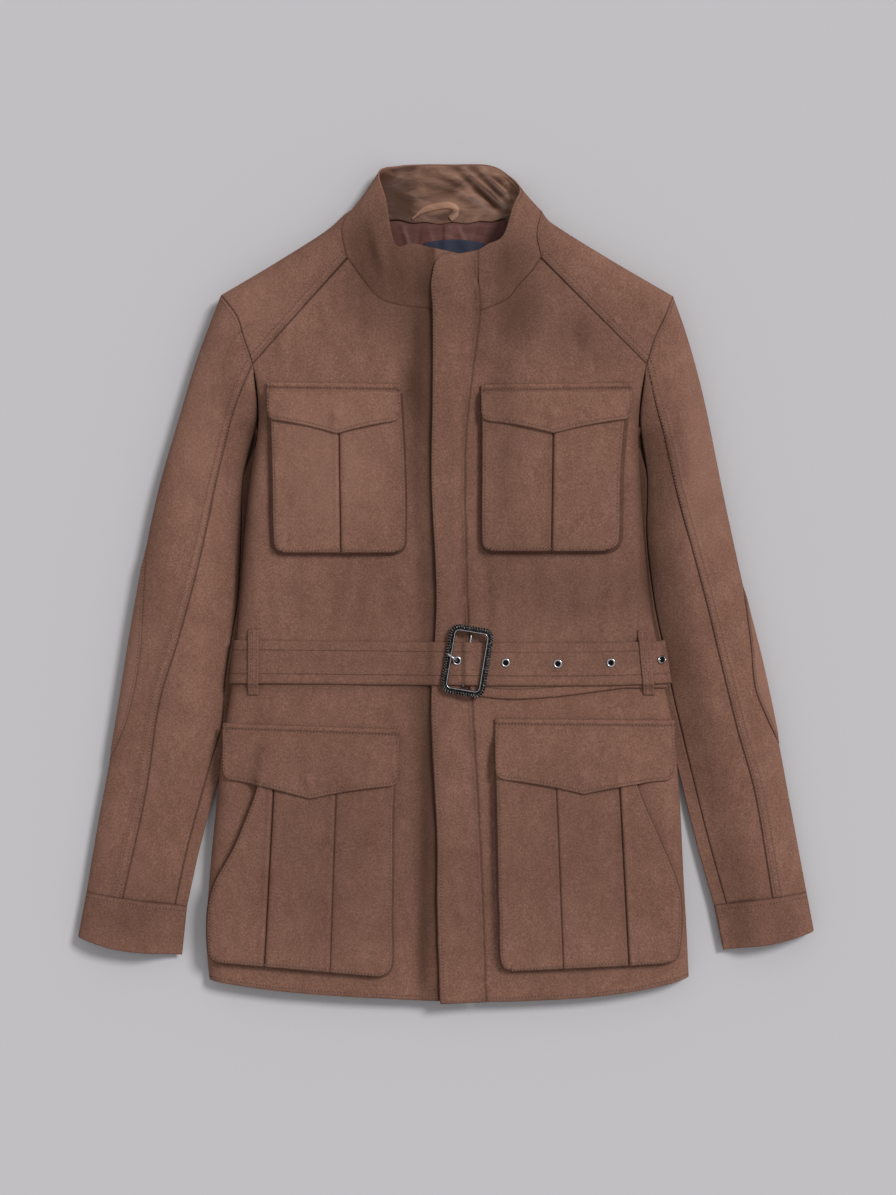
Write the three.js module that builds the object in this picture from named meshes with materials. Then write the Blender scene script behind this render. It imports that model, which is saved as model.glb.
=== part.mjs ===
// Hunting jacket laid flat on its back: belted field jacket with four bellows pockets.
// Millimetres. +X is the viewer's right (the wearer's left), +Y runs up to the collar, +Z is up
// from the surface that the jacket lies on. The origin is the middle of its footprint.

import * as THREE from 'three';

// Cloth and clearances
const CLOTH = 1.8;          // faux suede with its backing
const TRIM = 1.4;           // one layer of suede on trim, patches and gussets
const SATIN = 1.0;          // facing and lining
const GAP = 0.3;            // room between pieces that meet at a seam or lie on each other
const SEAM_GAP = 0.2;       // each panel's edge stands back this far from the seam line
const SIDE_GAP = 0.8;       // a front's panel stands back this far from its turned side
const SEAM_REACH = 1.3;     // a laid piece takes no notice of gaps narrower than this

// Belt
const BELT_WIDTH = 45;
const BELT_THICK = 2.6;
const BELT_Y = -79;         // middle of the belt

// How far the cloth turns under itself on the table
const SIDE_TURN = 34;
const SHOULDER_TURN = 14;
const SLEEVE_TURN = 13;
const SLEEVE_INNER_TURN = 11;
const INNER_SEAM = 12;        // the inner sleeve seam lies this far up from the inner fold
const SIDE_ROUND = 17;      // width of the roll where the front turns down at a side or shoulder
const SLEEVE_ROUND = 30;
const SLEEVE_VALLEY = 52;   // width of the soft fall of a sleeve to its inner fold
const SLEEVE_LOFT = 31;
const CUFF_LOFT = 24;
const ARMHOLE_BLEND = 95;   // the sleeve takes the body's height at the armhole over this length

// Turns rows of numbers into records with the named columns.
const table = (names, rows) => rows.map(
  row => Object.fromEntries(names.split(' ').map((name, i) => [name, row[i]])));

// Height of the front above the table along the body
const LOFT = table('y top', [
  [-420, 21], [-330, 26], [-207, 31], [-110, 31], [-50, 31], [40, 34], [130, 37], [216, 38],
  [300, 37], [375, 31],
]);

// Edge lines seen from above with their height: z is the height of the fold.
// right is the wearer's right side, drawn at the viewer's left.
const EDGES = {
  right: {
    sign: -1,
    side: table('x y z', [
      [-236, -395, 8], [-239, -355, 9], [-236, -300, 11], [-227, -207, 14], [-220, -147, 16],
      [-213, -102, 17], [-208, -57, 18], [-205, -17, 19], [-200, 48, 20], [-194, 104, 20],
      [-186, 158, 23], [-187, 190, 29], [-191, 216, 36],
    ]),
    shoulder: table('x y z', [
      [-93.5, 371, 16], [-101, 366, 15], [-115, 353, 15], [-166, 320, 15], [-224, 285.5, 15],
    ]),
    sleeveOuter: table('x y z', [
      [-224, 285.5, 15], [-246, 227.5, 15], [-266, 162.5, 15], [-286, 92.5, 15], [-299, 32, 14],
      [-312, -40, 14], [-331, -157, 13], [-346, -237, 12], [-358, -307.5, 11],
    ]),
    sleeveInner: table('x y z', [
      [-192, 206, 32], [-194, 170, 20], [-197, 129, 8], [-197, 84, 6], [-194, 40, 6],
      [-197, -26, 6], [-203, -62, 5], [-209, -102, 5], [-212, -147, 6], [-224, -187, 6.5],
      [-246, -267, 8], [-258, -322.5, 9],
    ]),
    frontSeam: table('x y', [
      [-193.5, 212, 0], [-206, 182], [-213, 162], [-228, 100], [-242, 32], [-265, -55],
      [-284, -117], [-298, -208], [-321, -313],
    ]),
    armhole: table('x y', [[-224, 285.5], [-207, 263], [-200, 242], [-191, 216]]),
    yokeSeam: table('x y', [[-191, 216], [-142, 271], [-97, 321]]),
    collarSide: table('x y', [[-98, 321.5], [-103, 352], [-93.5, 371]]),
    collarFront: table('x y', [[-97, 321], [-78, 294], [-66, 281], [-50, 275], [8, 268.5]]),
    centre: table('x y', [[9, -416], [9, -150], [9, 80], [8, 268.5]]),
    hem: table('x y', [[-236, -395], [-206, -400], [-146, -407.5], [-46, -413.5], [9, -416]]),
    cuffHem: table('x y', [[-366.5, -352.5], [-326, -364.5], [-263, -370.5]]),
    patchEdge: table('along across', [[0, 0.02], [0.2, 0.13], [0.5, 0.3], [0.75, 0.26], [1, 0.02]]),
    patchSpan: [31, -177],
    chest: {
      rows: table('y from to', [
        [29.5, -165, -52], [32, -171, -45], [40, -175, -41], [110, -175, -41], [188, -176.5, -45],
      ]),
      tilt: 0,
      pleats: table('top bottom', [[-106, -104]]),
      flap: { top: 200, from: -180, to: -45.5, tilt: -0.03, side: 38, tip: 51, tipAt: 0.53 },
    },
    hip: {
      rows: table('y from to', [
        [-383, -225, -66], [-380, -229, -59], [-371, -232.5, -54], [-330, -231, -54],
        [-309, -227, -53.5], [-244, -195, -53], [-205, -186, -52], [-162, -181, -51],
      ]),
      tilt: -0.087,
      pleats: table('top bottom', [[-168, -180], [-107, -115]]),
      flap: { top: -140, from: -221, to: -47, tilt: -0.035, side: 57, tip: 74, tipAt: 0.5 },
    },
    loop: { top: -190.5, bottom: -191 },
  },
  left: {
    sign: 1,
    side: table('x y z', [
      [242, -392.5, 8], [240, -350, 9], [237, -300, 11], [232, -207, 14], [226, -147, 16],
      [217, -102, 17], [209, -57, 18], [204, -30, 19], [198, 29, 20], [194, 80, 20],
      [191, 150, 23], [193, 185, 29], [198, 215.5, 36],
    ]),
    shoulder: table('x y z', [
      [95, 370, 16], [101, 361, 15], [115, 351, 15], [166, 319.5, 15], [226, 284.5, 15],
    ]),
    sleeveOuter: table('x y z', [
      [226, 284.5, 15], [239, 247.5, 15], [255, 189.5, 15], [277, 82.5, 15], [299, -17.5, 14],
      [314, -77.5, 14], [329, -147.5, 13], [344, -227.5, 12], [359, -307.5, 11],
    ]),
    sleeveInner: table('x y z', [
      [199, 206, 32], [199, 170, 20], [198, 129, 8], [193, 84, 6], [190, 40, 6],
      [197, -26, 6], [204, -62, 5], [212, -102, 5], [222, -147, 6], [234, -197, 6.5],
      [249, -257, 8], [267, -321.5, 9],
    ]),
    frontSeam: table('x y', [
      [200.5, 212], [209, 172], [217, 145], [230, 84], [244, 32], [260, -28], [272, -78],
      [290, -150], [306, -207], [324, -312.8],
    ]),
    armhole: table('x y', [[226, 284.5], [216, 262], [207, 243], [198, 215.5]]),
    yokeSeam: table('x y', [[198, 215.5], [172, 241.5], [93, 321]]),
    collarSide: table('x y', [[94, 321.5], [89.5, 345], [95, 370]]),
    collarFront: table('x y', [[93, 321], [84, 308], [71, 293.5], [61, 281], [34, 268.5]]),
    centre: table('x y', [
      [40, -416], [37, -317], [32, -217], [26, -117], [21, 0], [20, 142], [26, 202], [34, 268.5],
    ]),
    hem: table('x y', [[242, -392.5], [214, -400.5], [154, -410.5], [74, -415.5], [40, -416]]),
    cuffHem: table('x y', [[366.5, -346.5], [329, -357.5], [276, -365.5]]),
    patchEdge: table('along across', [[0, 0.02], [0.3, 0.16], [0.58, 0.32], [0.8, 0.2], [1, 0.02]]),
    patchSpan: [-5, -160],
    chest: {
      rows: table('y from to', [
        [31, 45, 158], [34, 38.5, 167], [42, 36, 172], [110, 36, 174], [188, 36, 180],
      ]),
      tilt: 0,
      pleats: table('top bottom', [[106, 104]]),
      flap: { top: 197, from: 35, to: 184, tilt: 0.02, side: 33, tip: 47, tipAt: 0.48 },
    },
    hip: {
      rows: table('y from to', [
        [-381, 66, 217], [-378, 58, 226], [-366, 54, 231], [-330, 53, 233],
        [-303, 52, 230], [-250, 51, 209], [-202, 50, 189], [-160, 49, 184],
      ]),
      tilt: 0.048,
      pleats: table('top bottom', [[107, 116], [169, 181]]),
      flap: { top: -135.5, from: 49, to: 226, tilt: -0.01, side: 60, tip: 75, tipAt: 0.49 },
    },
    loop: { top: 195, bottom: 201 },
  },
};

// Soft creases of the front: a trough from (x1, y1) to (x2, y2); a negative depth is a ridge.
const CREASES = table('x1 y1 x2 y2 width depth', [
  [-38, 262, -42, 150, 15, 4.5],
  [-74, 290, -92, 205, 20, -2.5],
  [38, 235, 44, 60, 12, 4],
  [-28, -120, -32, -405, 13, 3.5],
  [-10, -140, -14, -400, 10, -2],
  [-118, -40, -104, 22, 9, 2],
  [-58, -42, -66, 14, 8, 2],
  [92, -40, 82, 26, 9, 2],
  [150, -42, 158, 18, 9, 1.8],
  [-150, -42, -158, 12, 8, 1.5],
  [60, -118, 66, -200, 9, 1.8],
]);

// Soft creases of the sleeves, in the same columns
const SLEEVE_CREASES = table('x1 y1 x2 y2 width depth', [
  [-228, 60, -268, 96, 12, 2.5],
  [-216, -60, -262, -30, 13, 2.5],
  [-238, -150, -292, -128, 12, 2.2],
  [216, 40, 262, 78, 12, 2.5],
  [222, -70, 268, -46, 13, 2.5],
  [246, -170, 300, -140, 12, 2.2],
]);

// Collar band: where it is sewn on and where its free edge runs, going round from the wearer's
// right front, over the right side, behind the neck and back to the left front.
const COLLAR = table('seamX seamY seamZ edgeX edgeY edgeZ', [
  [8, 269, 38, 12, 328, 41],
  [-22, 270.5, 38.5, -14, 334, 43],
  [-50, 275.5, 39, -34, 338, 44],
  [-78, 294.5, 38, -47, 334, 44.5],
  [-96.6, 321.5, 34, -54, 346, 43],
  [-100, 352, 25, -60, 378, 36],
  [-89.5, 371.5, 13, -67, 408, 20],
  [-66, 366, 1.5, -48, 415.5, 3],
  [-30, 361.5, 0, -24, 417.2, 0],
  [10, 361, 0, 6, 417.2, 0],
  [45, 363, 0, 42, 416.5, 0.4],
  [74, 369, 2, 62, 407, 4],
  [94, 370, 13, 74, 391, 21],
  [88, 345, 27, 67, 372, 36],
  [92.6, 321.5, 34, 57, 345, 42],
  [72, 294.5, 38, 43, 337.5, 43.5],
  [61, 281.5, 38.5, 36, 334, 43],
  [34, 269.5, 38, 31.5, 331.5, 42],
]);

// Fly placket: its free edge from the hem to the collar
const PLACKET_EDGE = table('x y', [
  [-5, -417.5], [-8, -317], [-8, -255], [-13, -157], [-14, -117], [-9, -17], [-14, 102],
  [-13, 182], [-13, 272], [-14.5, 297], [-12, 315],
]);
const PLACKET_TOP = table('x y', [[-12, 315], [-9, 322.5], [-2, 326.5], [13, 327.8], [31, 331]]);
const PLACKET_THICK = 2.6;

// Pockets and flaps
const POCKET_RISE = 8.5;     // depth of a pocket's gusset
const FLAP_THICK = 2.2;
const PLEAT_DEPTH = 2.4;
const LOOP_LENGTH = 64;
const LOOP_WIDTH = 10;

// Buckle: a frame with a bar across its middle, leaning with the belt
const BUCKLE = { x: 21, y: -77.5, width: 41, height: 66.5, rim: 7.5, thick: 4.2, lean: -0.165 };
const BAR_RADIUS = 1.2;
const EYELETS = table('x y', [[11, -77.5], [59, -79.5], [110.5, -80.5], [163, -79.5], [214, -76.5]]);
const EYELET_RADIUS = 3.5;
const EYELET_ROUND = 0.9;
const TAIL_END = 221;

// Hanger loop behind the neck, and the label and lining under it
const HANGER = table('x y', [[-33, 363.5], [-21, 371.5], [-4, 376.5], [4, 376], [11, 368]]);
const LABEL_BOX = { x: 8, y: 331, width: 60, height: 22 };
const LINING_BOX = { left: -58, right: 58, bottom: 296, top: 359.5 };

// Materials
const material = (color, roughness, metalness = 0) =>
  new THREE.MeshStandardMaterial({ color, roughness, metalness });
const SUEDE = material(0x76584d, 0.95);
const SUEDE_DARK = material(0x654840, 0.95);
const FACING = material(0x5a4030, 0.45);
const LINING = material(0x5a3b38, 0.5);
const LABEL = material(0x27304a, 0.7);
const GUNMETAL = material(0x3b3a3c, 0.4, 0.9);
const NICKEL = material(0xc8c8cc, 0.25, 1);

const jacket = new THREE.Group();

// Small maths

const clamp = (value, low = 0, high = 1) => Math.min(high, Math.max(low, value));
const mix = (a, b, t) => a + (b - a) * t;
const smooth = t => clamp(t) ** 2 * (3 - 2 * clamp(t));
const roll = t => Math.sqrt(1 - (1 - clamp(t)) ** 2);
const range = count => [...Array(count).keys()];
const steps = count => range(count).map(i => i / (count - 1));

// Smooth value of a table column at a place along another, which rises down the table.
function column(rows, along, name, place) {
  const slope = i => {
    const a = rows[Math.max(0, i - 1)];
    const b = rows[Math.min(rows.length - 1, i + 1)];
    return (b[name] - a[name]) / (b[along] - a[along]);
  };
  let i = 0;
  while (i < rows.length - 2 && place > rows[i + 1][along]) i += 1;
  const span = rows[i + 1][along] - rows[i][along];
  const t = clamp((place - rows[i][along]) / span);
  const bend = t * t * (3 - 2 * t);
  const start = slope(i) * span * t * (1 - t) ** 2;
  const finish = slope(i + 1) * span * t * t * (t - 1);
  return mix(rows[i][name], rows[i + 1][name], bend) + start + finish;
}

// Smooth line through the rows of an edge; s runs from 0 to 1 along its length.
function line(rows) {
  const points = rows.map(row => new THREE.Vector3(row.x, row.y, row.z ?? 0));
  const curve = new THREE.CatmullRomCurve3(points, false, 'centripetal');
  curve.arcLengthDivisions = 120;
  return s => curve.getPointAt(clamp(s));
}

const reverse = at => s => at(1 - s);

// Two lines end to end, the first taking the given share.
const joined = (first, second, share) => s => (s < share ? first(s / share)
  : second((s - share) / (1 - share)));

// Share at which an edge line comes to a height y.
function shareAtY(at, y) {
  let low = 0;
  let high = 1;
  const rising = at(1).y > at(0).y;
  for (let i = 0; i < 24; i += 1) {
    const middle = (low + high) / 2;
    if ((at(middle).y < y) === rising) low = middle;
    else high = middle;
  }
  return (low + high) / 2;
}

// Sheet between four edge lines (u across from left to right, v from bottom to top).
function between(bottom, top, left, right) {
  const corner = (a, b, u, v) => mix(mix(a[0], a[1], u), mix(b[0], b[1], u), v);
  return (u, v) => {
    const [b, t, l, r] = [bottom(u), top(u), left(v), right(v)];
    const [b0, b1, t0, t1] = [bottom(0), bottom(1), top(0), top(1)];
    const x = mix(b.x, t.x, v) + mix(l.x, r.x, u) - corner([b0.x, b1.x], [t0.x, t1.x], u, v);
    const y = mix(b.y, t.y, v) + mix(l.y, r.y, u) - corner([b0.y, b1.y], [t0.y, t1.y], u, v);
    return new THREE.Vector3(x, y, 0);
  };
}

// Distance from (x, y) to an edge line, with the line's height at the nearest place
function nearest(samples, x, y) {
  let best = { distance: Infinity, z: 0 };
  for (let i = 0; i + 1 < samples.length; i += 1) {
    const [a, b] = [samples[i], samples[i + 1]];
    const [dx, dy] = [b.x - a.x, b.y - a.y];
    const t = clamp(((x - a.x) * dx + (y - a.y) * dy) / (dx * dx + dy * dy));
    const distance = Math.hypot(a.x + dx * t - x, a.y + dy * t - y);
    if (distance < best.distance) best = { distance, z: mix(a.z, b.z, t) };
  }
  return best;
}

const sampled = rows => steps(36).map(line(rows));
const BODY_EDGES = Object.values(EDGES).flatMap(
  edge => [sampled(edge.side), sampled(edge.shoulder), sampled(edge.sleeveOuter)]);

function creaseDepth(creases, x, y) {
  let sum = 0;
  for (const { x1, y1, x2, y2, width, depth } of creases) {
    const [dx, dy] = [x2 - x1, y2 - y1];
    const length = Math.hypot(dx, dy);
    const along = ((x - x1) * dx + (y - y1) * dy) / length;
    const across = ((x - x1) * dy - (y - y1) * dx) / length;
    const fade = smooth((along + 22) / 50) * smooth((length + 22 - along) / 50);
    sum += depth * fade * Math.exp(-((across / width) ** 2));
  }
  return sum;
}

// Height of the front's outer face: it rolls up from the nearest edge and crowns to the loft.
function bodyHeight(x, y) {
  const near = BODY_EDGES.map(edge => nearest(edge, x, y))
    .reduce((a, b) => (b.distance < a.distance ? b : a));
  const top = column(LOFT, 'y', 'top', y);
  const share = 0.78 * roll(near.distance / SIDE_ROUND) + 0.22 * (1 - Math.exp(-near.distance / 45));
  const fade = smooth(near.distance / 30);
  return mix(near.z, top, share) - fade * creaseDepth(CREASES, x, y);
}

// Rise of the table-side belt under the back, which lifts the cloth that lies on it
function beltLift(y) {
  const reach = Math.abs(y - BELT_Y) - BELT_WIDTH / 2 - 2;
  return (BELT_THICK + GAP) * (1 - smooth(reach / 16));
}

// Turned-under cloth: points from the table up to a fold at height z, going outwards.
// Its height follows a blend of a round and an easy slope.
function turnedPoint(edge, inward, width, floor, share) {
  const distance = width * (1 - share) ** 1.4;
  const t = 1 - distance / width;
  const rise = 0.5 * (1 - Math.sqrt(1 - t * t)) + 0.5 * smooth(t);
  return new THREE.Vector3(edge.x + inward.x * distance, edge.y + inward.y * distance,
    Math.max(edge.z * rise, floor * (1 - t)));
}
const turned = (edge, inward, width, floor, count) =>
  range(count).map(i => turnedPoint(edge, inward, width, floor, i / count));

// Solid walls

// Closed wall from a grid of points on its outer face: each point's partner lies one thickness
// away, along the surface normal or straight down.
function wall(grid, thickness, options = {}) {
  const { side = 1, down = false, ring = false } = options;
  const rows = grid.length;
  const columns = grid[0].length;
  const at = (i, j) => grid[i][ring ? (j + columns) % columns : clamp(j, 0, columns - 1)];
  const normal = (i, j) => {
    const du = at(i, j + 1).clone().sub(at(i, j - 1));
    const dv = at(Math.min(i + 1, rows - 1), j).clone().sub(at(Math.max(i - 1, 0), j));
    return du.cross(dv).normalize().multiplyScalar(side);
  };
  const positions = [];
  for (let i = 0; i < rows; i += 1) {
    for (let j = 0; j < columns; j += 1) positions.push(...grid[i][j].toArray());
  }
  for (let i = 0; i < rows; i += 1) {
    for (let j = 0; j < columns; j += 1) {
      const away = down ? new THREE.Vector3(0, 0, 1) : normal(i, j);
      positions.push(...grid[i][j].clone().addScaledVector(away, -thickness).toArray());
    }
  }
  const outer = (i, j) => i * columns + (ring ? j % columns : j);
  const inner = (i, j) => rows * columns + outer(i, j);
  const faces = [];
  const quad = (a, b, c, d) => faces.push(a, b, c, a, c, d);
  const last = ring ? columns : columns - 1;
  for (let i = 0; i + 1 < rows; i += 1) {
    for (let j = 0; j < last; j += 1) {
      quad(outer(i, j), outer(i, j + 1), outer(i + 1, j + 1), outer(i + 1, j));
      quad(inner(i, j), inner(i + 1, j), inner(i + 1, j + 1), inner(i, j + 1));
    }
    if (!ring) {
      quad(outer(i, 0), outer(i + 1, 0), inner(i + 1, 0), inner(i, 0));
      quad(outer(i, last), inner(i, last), inner(i + 1, last), outer(i + 1, last));
    }
  }
  for (let j = 0; j < last; j += 1) {
    quad(outer(0, j), inner(0, j), inner(0, j + 1), outer(0, j + 1));
    quad(outer(rows - 1, j), outer(rows - 1, j + 1), inner(rows - 1, j + 1), inner(rows - 1, j));
  }
  return closed(positions, faces);
}

// Geometry from points and faces, with its faces turned outwards
function closed(positions, faces) {
  const geometry = new THREE.BufferGeometry();
  let volume = 0;
  const point = i => new THREE.Vector3().fromArray(positions, 3 * i);
  for (let i = 0; i < faces.length; i += 3) {
    volume += point(faces[i]).dot(point(faces[i + 1]).cross(point(faces[i + 2])));
  }
  if (volume < 0) faces.reverse();
  geometry.setAttribute('position', new THREE.Float32BufferAttribute(positions, 3));
  geometry.setIndex(faces);
  geometry.computeVertexNormals();
  return geometry;
}

// Draws the edges of a sheet back from its seams. rooms gives the distance at the first row,
// the last row, the first column and the last column, each a number or a function of the place.
function standBack(grid, rooms) {
  const copy = grid.map(row => row.map(point => point.clone()));
  const [rows, columns] = [grid.length, grid[0].length];
  const pull = (room, place, i, j, k, l) => {
    const inward = grid[k][l].clone().sub(grid[i][j]).normalize();
    copy[i][j].addScaledVector(inward, typeof room === 'function' ? room(place) : room);
  };
  for (let j = 0; j < columns; j += 1) {
    if (rooms.first) pull(rooms.first, j / (columns - 1), 0, j, 1, j);
    if (rooms.last) pull(rooms.last, j / (columns - 1), rows - 1, j, rows - 2, j);
  }
  for (let i = 0; i < rows; i += 1) {
    if (rooms.left) pull(rooms.left, i / (rows - 1), i, 0, i, 1);
    if (rooms.right) pull(rooms.right, i / (rows - 1), i, columns - 1, i, columns - 2);
  }
  return copy;
}

// What is already on the table, so that a piece can be laid on it

const pile = { cell: 16, cells: new Map() };

function addToPile(geometry) {
  const { position } = geometry.attributes;
  const index = geometry.index?.array ?? range(position.count);
  for (let i = 0; i < index.length; i += 3) {
    const corners = [0, 1, 2].map(k => new THREE.Vector3().fromBufferAttribute(position, index[i + k]));
    const box = new THREE.Box3().setFromPoints(corners);
    for (let a = Math.floor(box.min.x / pile.cell); a <= box.max.x / pile.cell; a += 1) {
      for (let b = Math.floor(box.min.y / pile.cell); b <= box.max.y / pile.cell; b += 1) {
        const key = `${a},${b}`;
        if (!pile.cells.has(key)) pile.cells.set(key, []);
        pile.cells.get(key).push(corners);
      }
    }
  }
}

function pileHeight(x, y) {
  let top = -Infinity;
  const key = `${Math.floor(x / pile.cell)},${Math.floor(y / pile.cell)}`;
  for (const [a, b, c] of pile.cells.get(key) ?? []) {
    const area = (b.x - a.x) * (c.y - a.y) - (b.y - a.y) * (c.x - a.x);
    if (Math.abs(area) < 1e-9) continue;
    const v = ((x - a.x) * (c.y - a.y) - (y - a.y) * (c.x - a.x)) / area;
    const w = ((b.x - a.x) * (y - a.y) - (b.y - a.y) * (x - a.x)) / area;
    if (v < -1e-6 || w < -1e-6 || v + w > 1 + 1e-6) continue;
    top = Math.max(top, a.z + v * (b.z - a.z) + w * (c.z - a.z));
  }
  return top;
}

// Height of the ground at a place, bridging the narrow gaps at seams
const groundHeight = (x, y) => Math.max(0, pileHeight(x, y), pileHeight(x - SEAM_REACH, y),
  pileHeight(x + SEAM_REACH, y), pileHeight(x, y - SEAM_REACH), pileHeight(x, y + SEAM_REACH));

// Lifts a sheet until its underside is clear of what lies below it, at and between its points.
// Each place that is too low asks its four corners to rise by their shares in it.
function settle(grid, thickness, clearance = GAP) {
  const inside = [0.01, 0.25, 0.5, 0.75, 0.99];
  for (const point of grid.flat()) {
    point.z = Math.max(point.z, groundHeight(point.x, point.y) + clearance + thickness);
  }
  for (let round = 0; round < 24; round += 1) {
    const rise = new Map();
    for (let i = 0; i + 1 < grid.length; i += 1) {
      for (let j = 0; j + 1 < grid[0].length; j += 1) {
        const corners = [grid[i][j], grid[i][j + 1], grid[i + 1][j], grid[i + 1][j + 1]];
        const [a, b, c, d] = corners;
        for (const u of inside) {
          for (const v of inside) {
            const shares = [(1 - u) * (1 - v), u * (1 - v), (1 - u) * v, u * v];
            const sum = axis => corners.reduce((t, corner, k) => t + corner[axis] * shares[k], 0);
            const low = Math.min(sum('z'),
              u >= v ? a.z + (b.z - a.z) * u + (d.z - b.z) * v : a.z + (c.z - a.z) * v + (d.z - c.z) * u);
            const need = groundHeight(sum('x'), sum('y')) + clearance + thickness - low;
            if (!(need > 0)) continue;
            const most = Math.max(...shares);
            corners.forEach((corner, k) => {
              rise.set(corner, Math.max(rise.get(corner) ?? 0, need * (shares[k] / most) ** 2));
            });
          }
        }
      }
    }
    for (const [corner, height] of rise) corner.z += height;
    if (Math.max(0, ...rise.values()) < 0.01) break;
  }
  return grid;
}

function add(name, geometry, finish, onPile = true) {
  const mesh = new THREE.Mesh(geometry, finish);
  mesh.name = name;
  jacket.add(mesh);
  if (onPile) addToPile(geometry);
  return geometry;
}

// A laid sheet: settles on the pile and becomes a wall of even depth.
const laid = (grid, thickness, clearance) =>
  wall(settle(grid, thickness, clearance), thickness, { down: true });

// Body

const SIDE_ROWS = [-380, -345, -300, -250, -205, -165, -122, -104, -79, -54, -36, 0, 40, 85, 125,
  158, 190];
const TURN_POINTS = 4;       // points of the cloth under the fold, in each row
const ROLL_STEPS = [0, 0.012, 0.045, 0.1];
const FRONT_STEPS = [...ROLL_STEPS, ...range(9).map(i => 0.18 + 0.82 * i / 8)];

// A front panel is one cut of cloth, made as two solids that meet where it has rolled level: the
// side, which turns under on the table, and the panel up to the yoke, neck and opening.
function frontPanel(name, edge) {
  const side = line(edge.side);
  const seam = line(edge.yokeSeam);
  const neck = line(edge.collarFront);
  const surface = between(line(edge.hem), joined(seam, neck, 0.58), side, line(edge.centre));
  const inward = { x: -edge.sign, y: 0 };
  const shares = [0, ...SIDE_ROWS.map(y => shareAtY(side, y)), 1];
  const grid = shares.map(v => {
    const fold = side(v);
    const under = turned(fold, inward, SIDE_TURN, beltLift(fold.y), TURN_POINTS);
    const top = FRONT_STEPS.map(u => {
      const point = surface(u, v);
      point.z = u === 0 ? fold.z : bodyHeight(point.x, point.y);
      return point;
    });
    return [...under, ...top];
  });
  const cut = TURN_POINTS + ROLL_STEPS.length - 1;
  const turnedSide = grid.map(row => row.slice(0, cut + 1));
  const panel = grid.map(row => row.slice(cut));
  const options = { side: -edge.sign };
  add(`${name}_side`, wall(standBack(turnedSide, { last: SEAM_GAP }), CLOTH, options), SUEDE);
  add(name, wall(standBack(panel, { last: SEAM_GAP, left: SIDE_GAP, right: SEAM_GAP }), CLOTH, options), SUEDE);
}

function yoke(name, edge) {
  const shoulder = line(edge.shoulder);
  const surface = between(reverse(line(edge.yokeSeam)), shoulder, line(edge.collarSide),
    reverse(line(edge.armhole)));
  const grid = [0, 0.2, 0.4, 0.6, 0.76, 0.88, 0.96, 1].map(v => steps(9).map(u => {
    const point = surface(u, v);
    point.z = v === 1 ? shoulder(u).z : bodyHeight(point.x, point.y);
    return point;
  }));
  const inward = new THREE.Vector3(-edge.sign * 0.5, -0.86, 0);
  const under = steps(9).map(u => turned(shoulder(u), inward, SHOULDER_TURN, 0, 3).reverse());
  for (const k of range(3)) grid.push(under.map(points => points[k]));
  add(name, wall(standBack(grid, { first: SEAM_GAP, left: 0.5, right: 0.5 }), CLOTH,
    { side: edge.sign }), SUEDE);
}

// The back lies flat between the turned-under sides, and lifts over the belt.
function backPanel() {
  const rowsY = [...SIDE_ROWS, 216.3, 217.5, 240, 262, 272, 300, 330];
  const bound = edge => {
    const side = line(edge.side);
    const shoulder = line(edge.shoulder);
    const [start, end] = [sleeveUnderStart(edge), sleeveUnderEnd(edge, 0)];
    return y => {
      if (y < 217) return side(shareAtY(side, y)).x - edge.sign * (SIDE_TURN + 1.8);
      const armhole = mix(start.x, end.x, (y - start.y) / (end.y - start.y)) - edge.sign * 2.5;
      if (y < 264) return armhole;
      const rise = SHOULDER_TURN + 4;
      return shoulder(shareAtY(shoulder, y + rise)).x - edge.sign * 6;
    };
  };
  const [low, high] = [bound(EDGES.right), bound(EDGES.left)];
  const across = steps(8);
  const grid = rowsY.map(y => across.map(
    u => new THREE.Vector3(mix(low(y), high(y), u), y, beltLift(y))));
  grid.unshift(across.map(u => {
    const x = mix(low(-394), high(-394), u);
    return new THREE.Vector3(x, -396 - 20 * (1 - (x / 210) ** 2), 0);
  }));
  grid.push(across.map(u => new THREE.Vector3(mix(-70, 70, u), 359.6 + 5 * (2 * u - 1) ** 2, 0)));
  add('back', wall(grid, CLOTH, { side: -1 }), SUEDE);
}

// Sleeves

function sleeveHeight(edge, samples, x, y, share) {
  const outer = nearest(samples.outer, x, y);
  const inner = nearest(samples.inner, x, y);
  const top = mix(SLEEVE_LOFT, CUFF_LOFT, smooth((share - 0.35) / 0.65));
  const outerDrop = (top - outer.z) * (1 - roll(outer.distance / SLEEVE_ROUND));
  const innerDrop = (top - inner.z) * (1 - smooth(inner.distance / SLEEVE_VALLEY));
  const fade = smooth(outer.distance / 25) * smooth(inner.distance / 25);
  const own = top - outerDrop - innerDrop - fade * creaseDepth(SLEEVE_CREASES, x, y);
  const length = line(edge.armhole)(0.5).distanceTo(line(edge.cuffHem)(0.5));
  return mix(bodyHeight(x, y), own, smooth(share * length / ARMHOLE_BLEND));
}

function sleeveLines(edge) {
  const outer = line(edge.sleeveOuter);
  const inner = line(edge.sleeveInner);
  const seam = line(edge.frontSeam);
  const innerSeam = s => {
    const fold = inner(s);
    const shift = INNER_SEAM * smooth((s - 0.06) / 0.16);
    return fold.clone().addScaledVector(outer(s).sub(fold).setZ(0).normalize(), shift);
  };
  const samples = { outer: steps(40).map(outer), inner: steps(40).map(inner) };
  return { outer, inner, seam, innerSeam, samples };
}

const straight = (a, b) => s => a.clone().lerp(b, s);

// Direction in which the sleeve's outer fold turns under: along the armhole at its top
const sleeveInward = (edge, share) => new THREE.Vector3(-edge.sign * 0.5, -0.86, 0)
  .lerp(new THREE.Vector3(-edge.sign, -0.2, 0), smooth(share / 0.14)).normalize();

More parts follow.
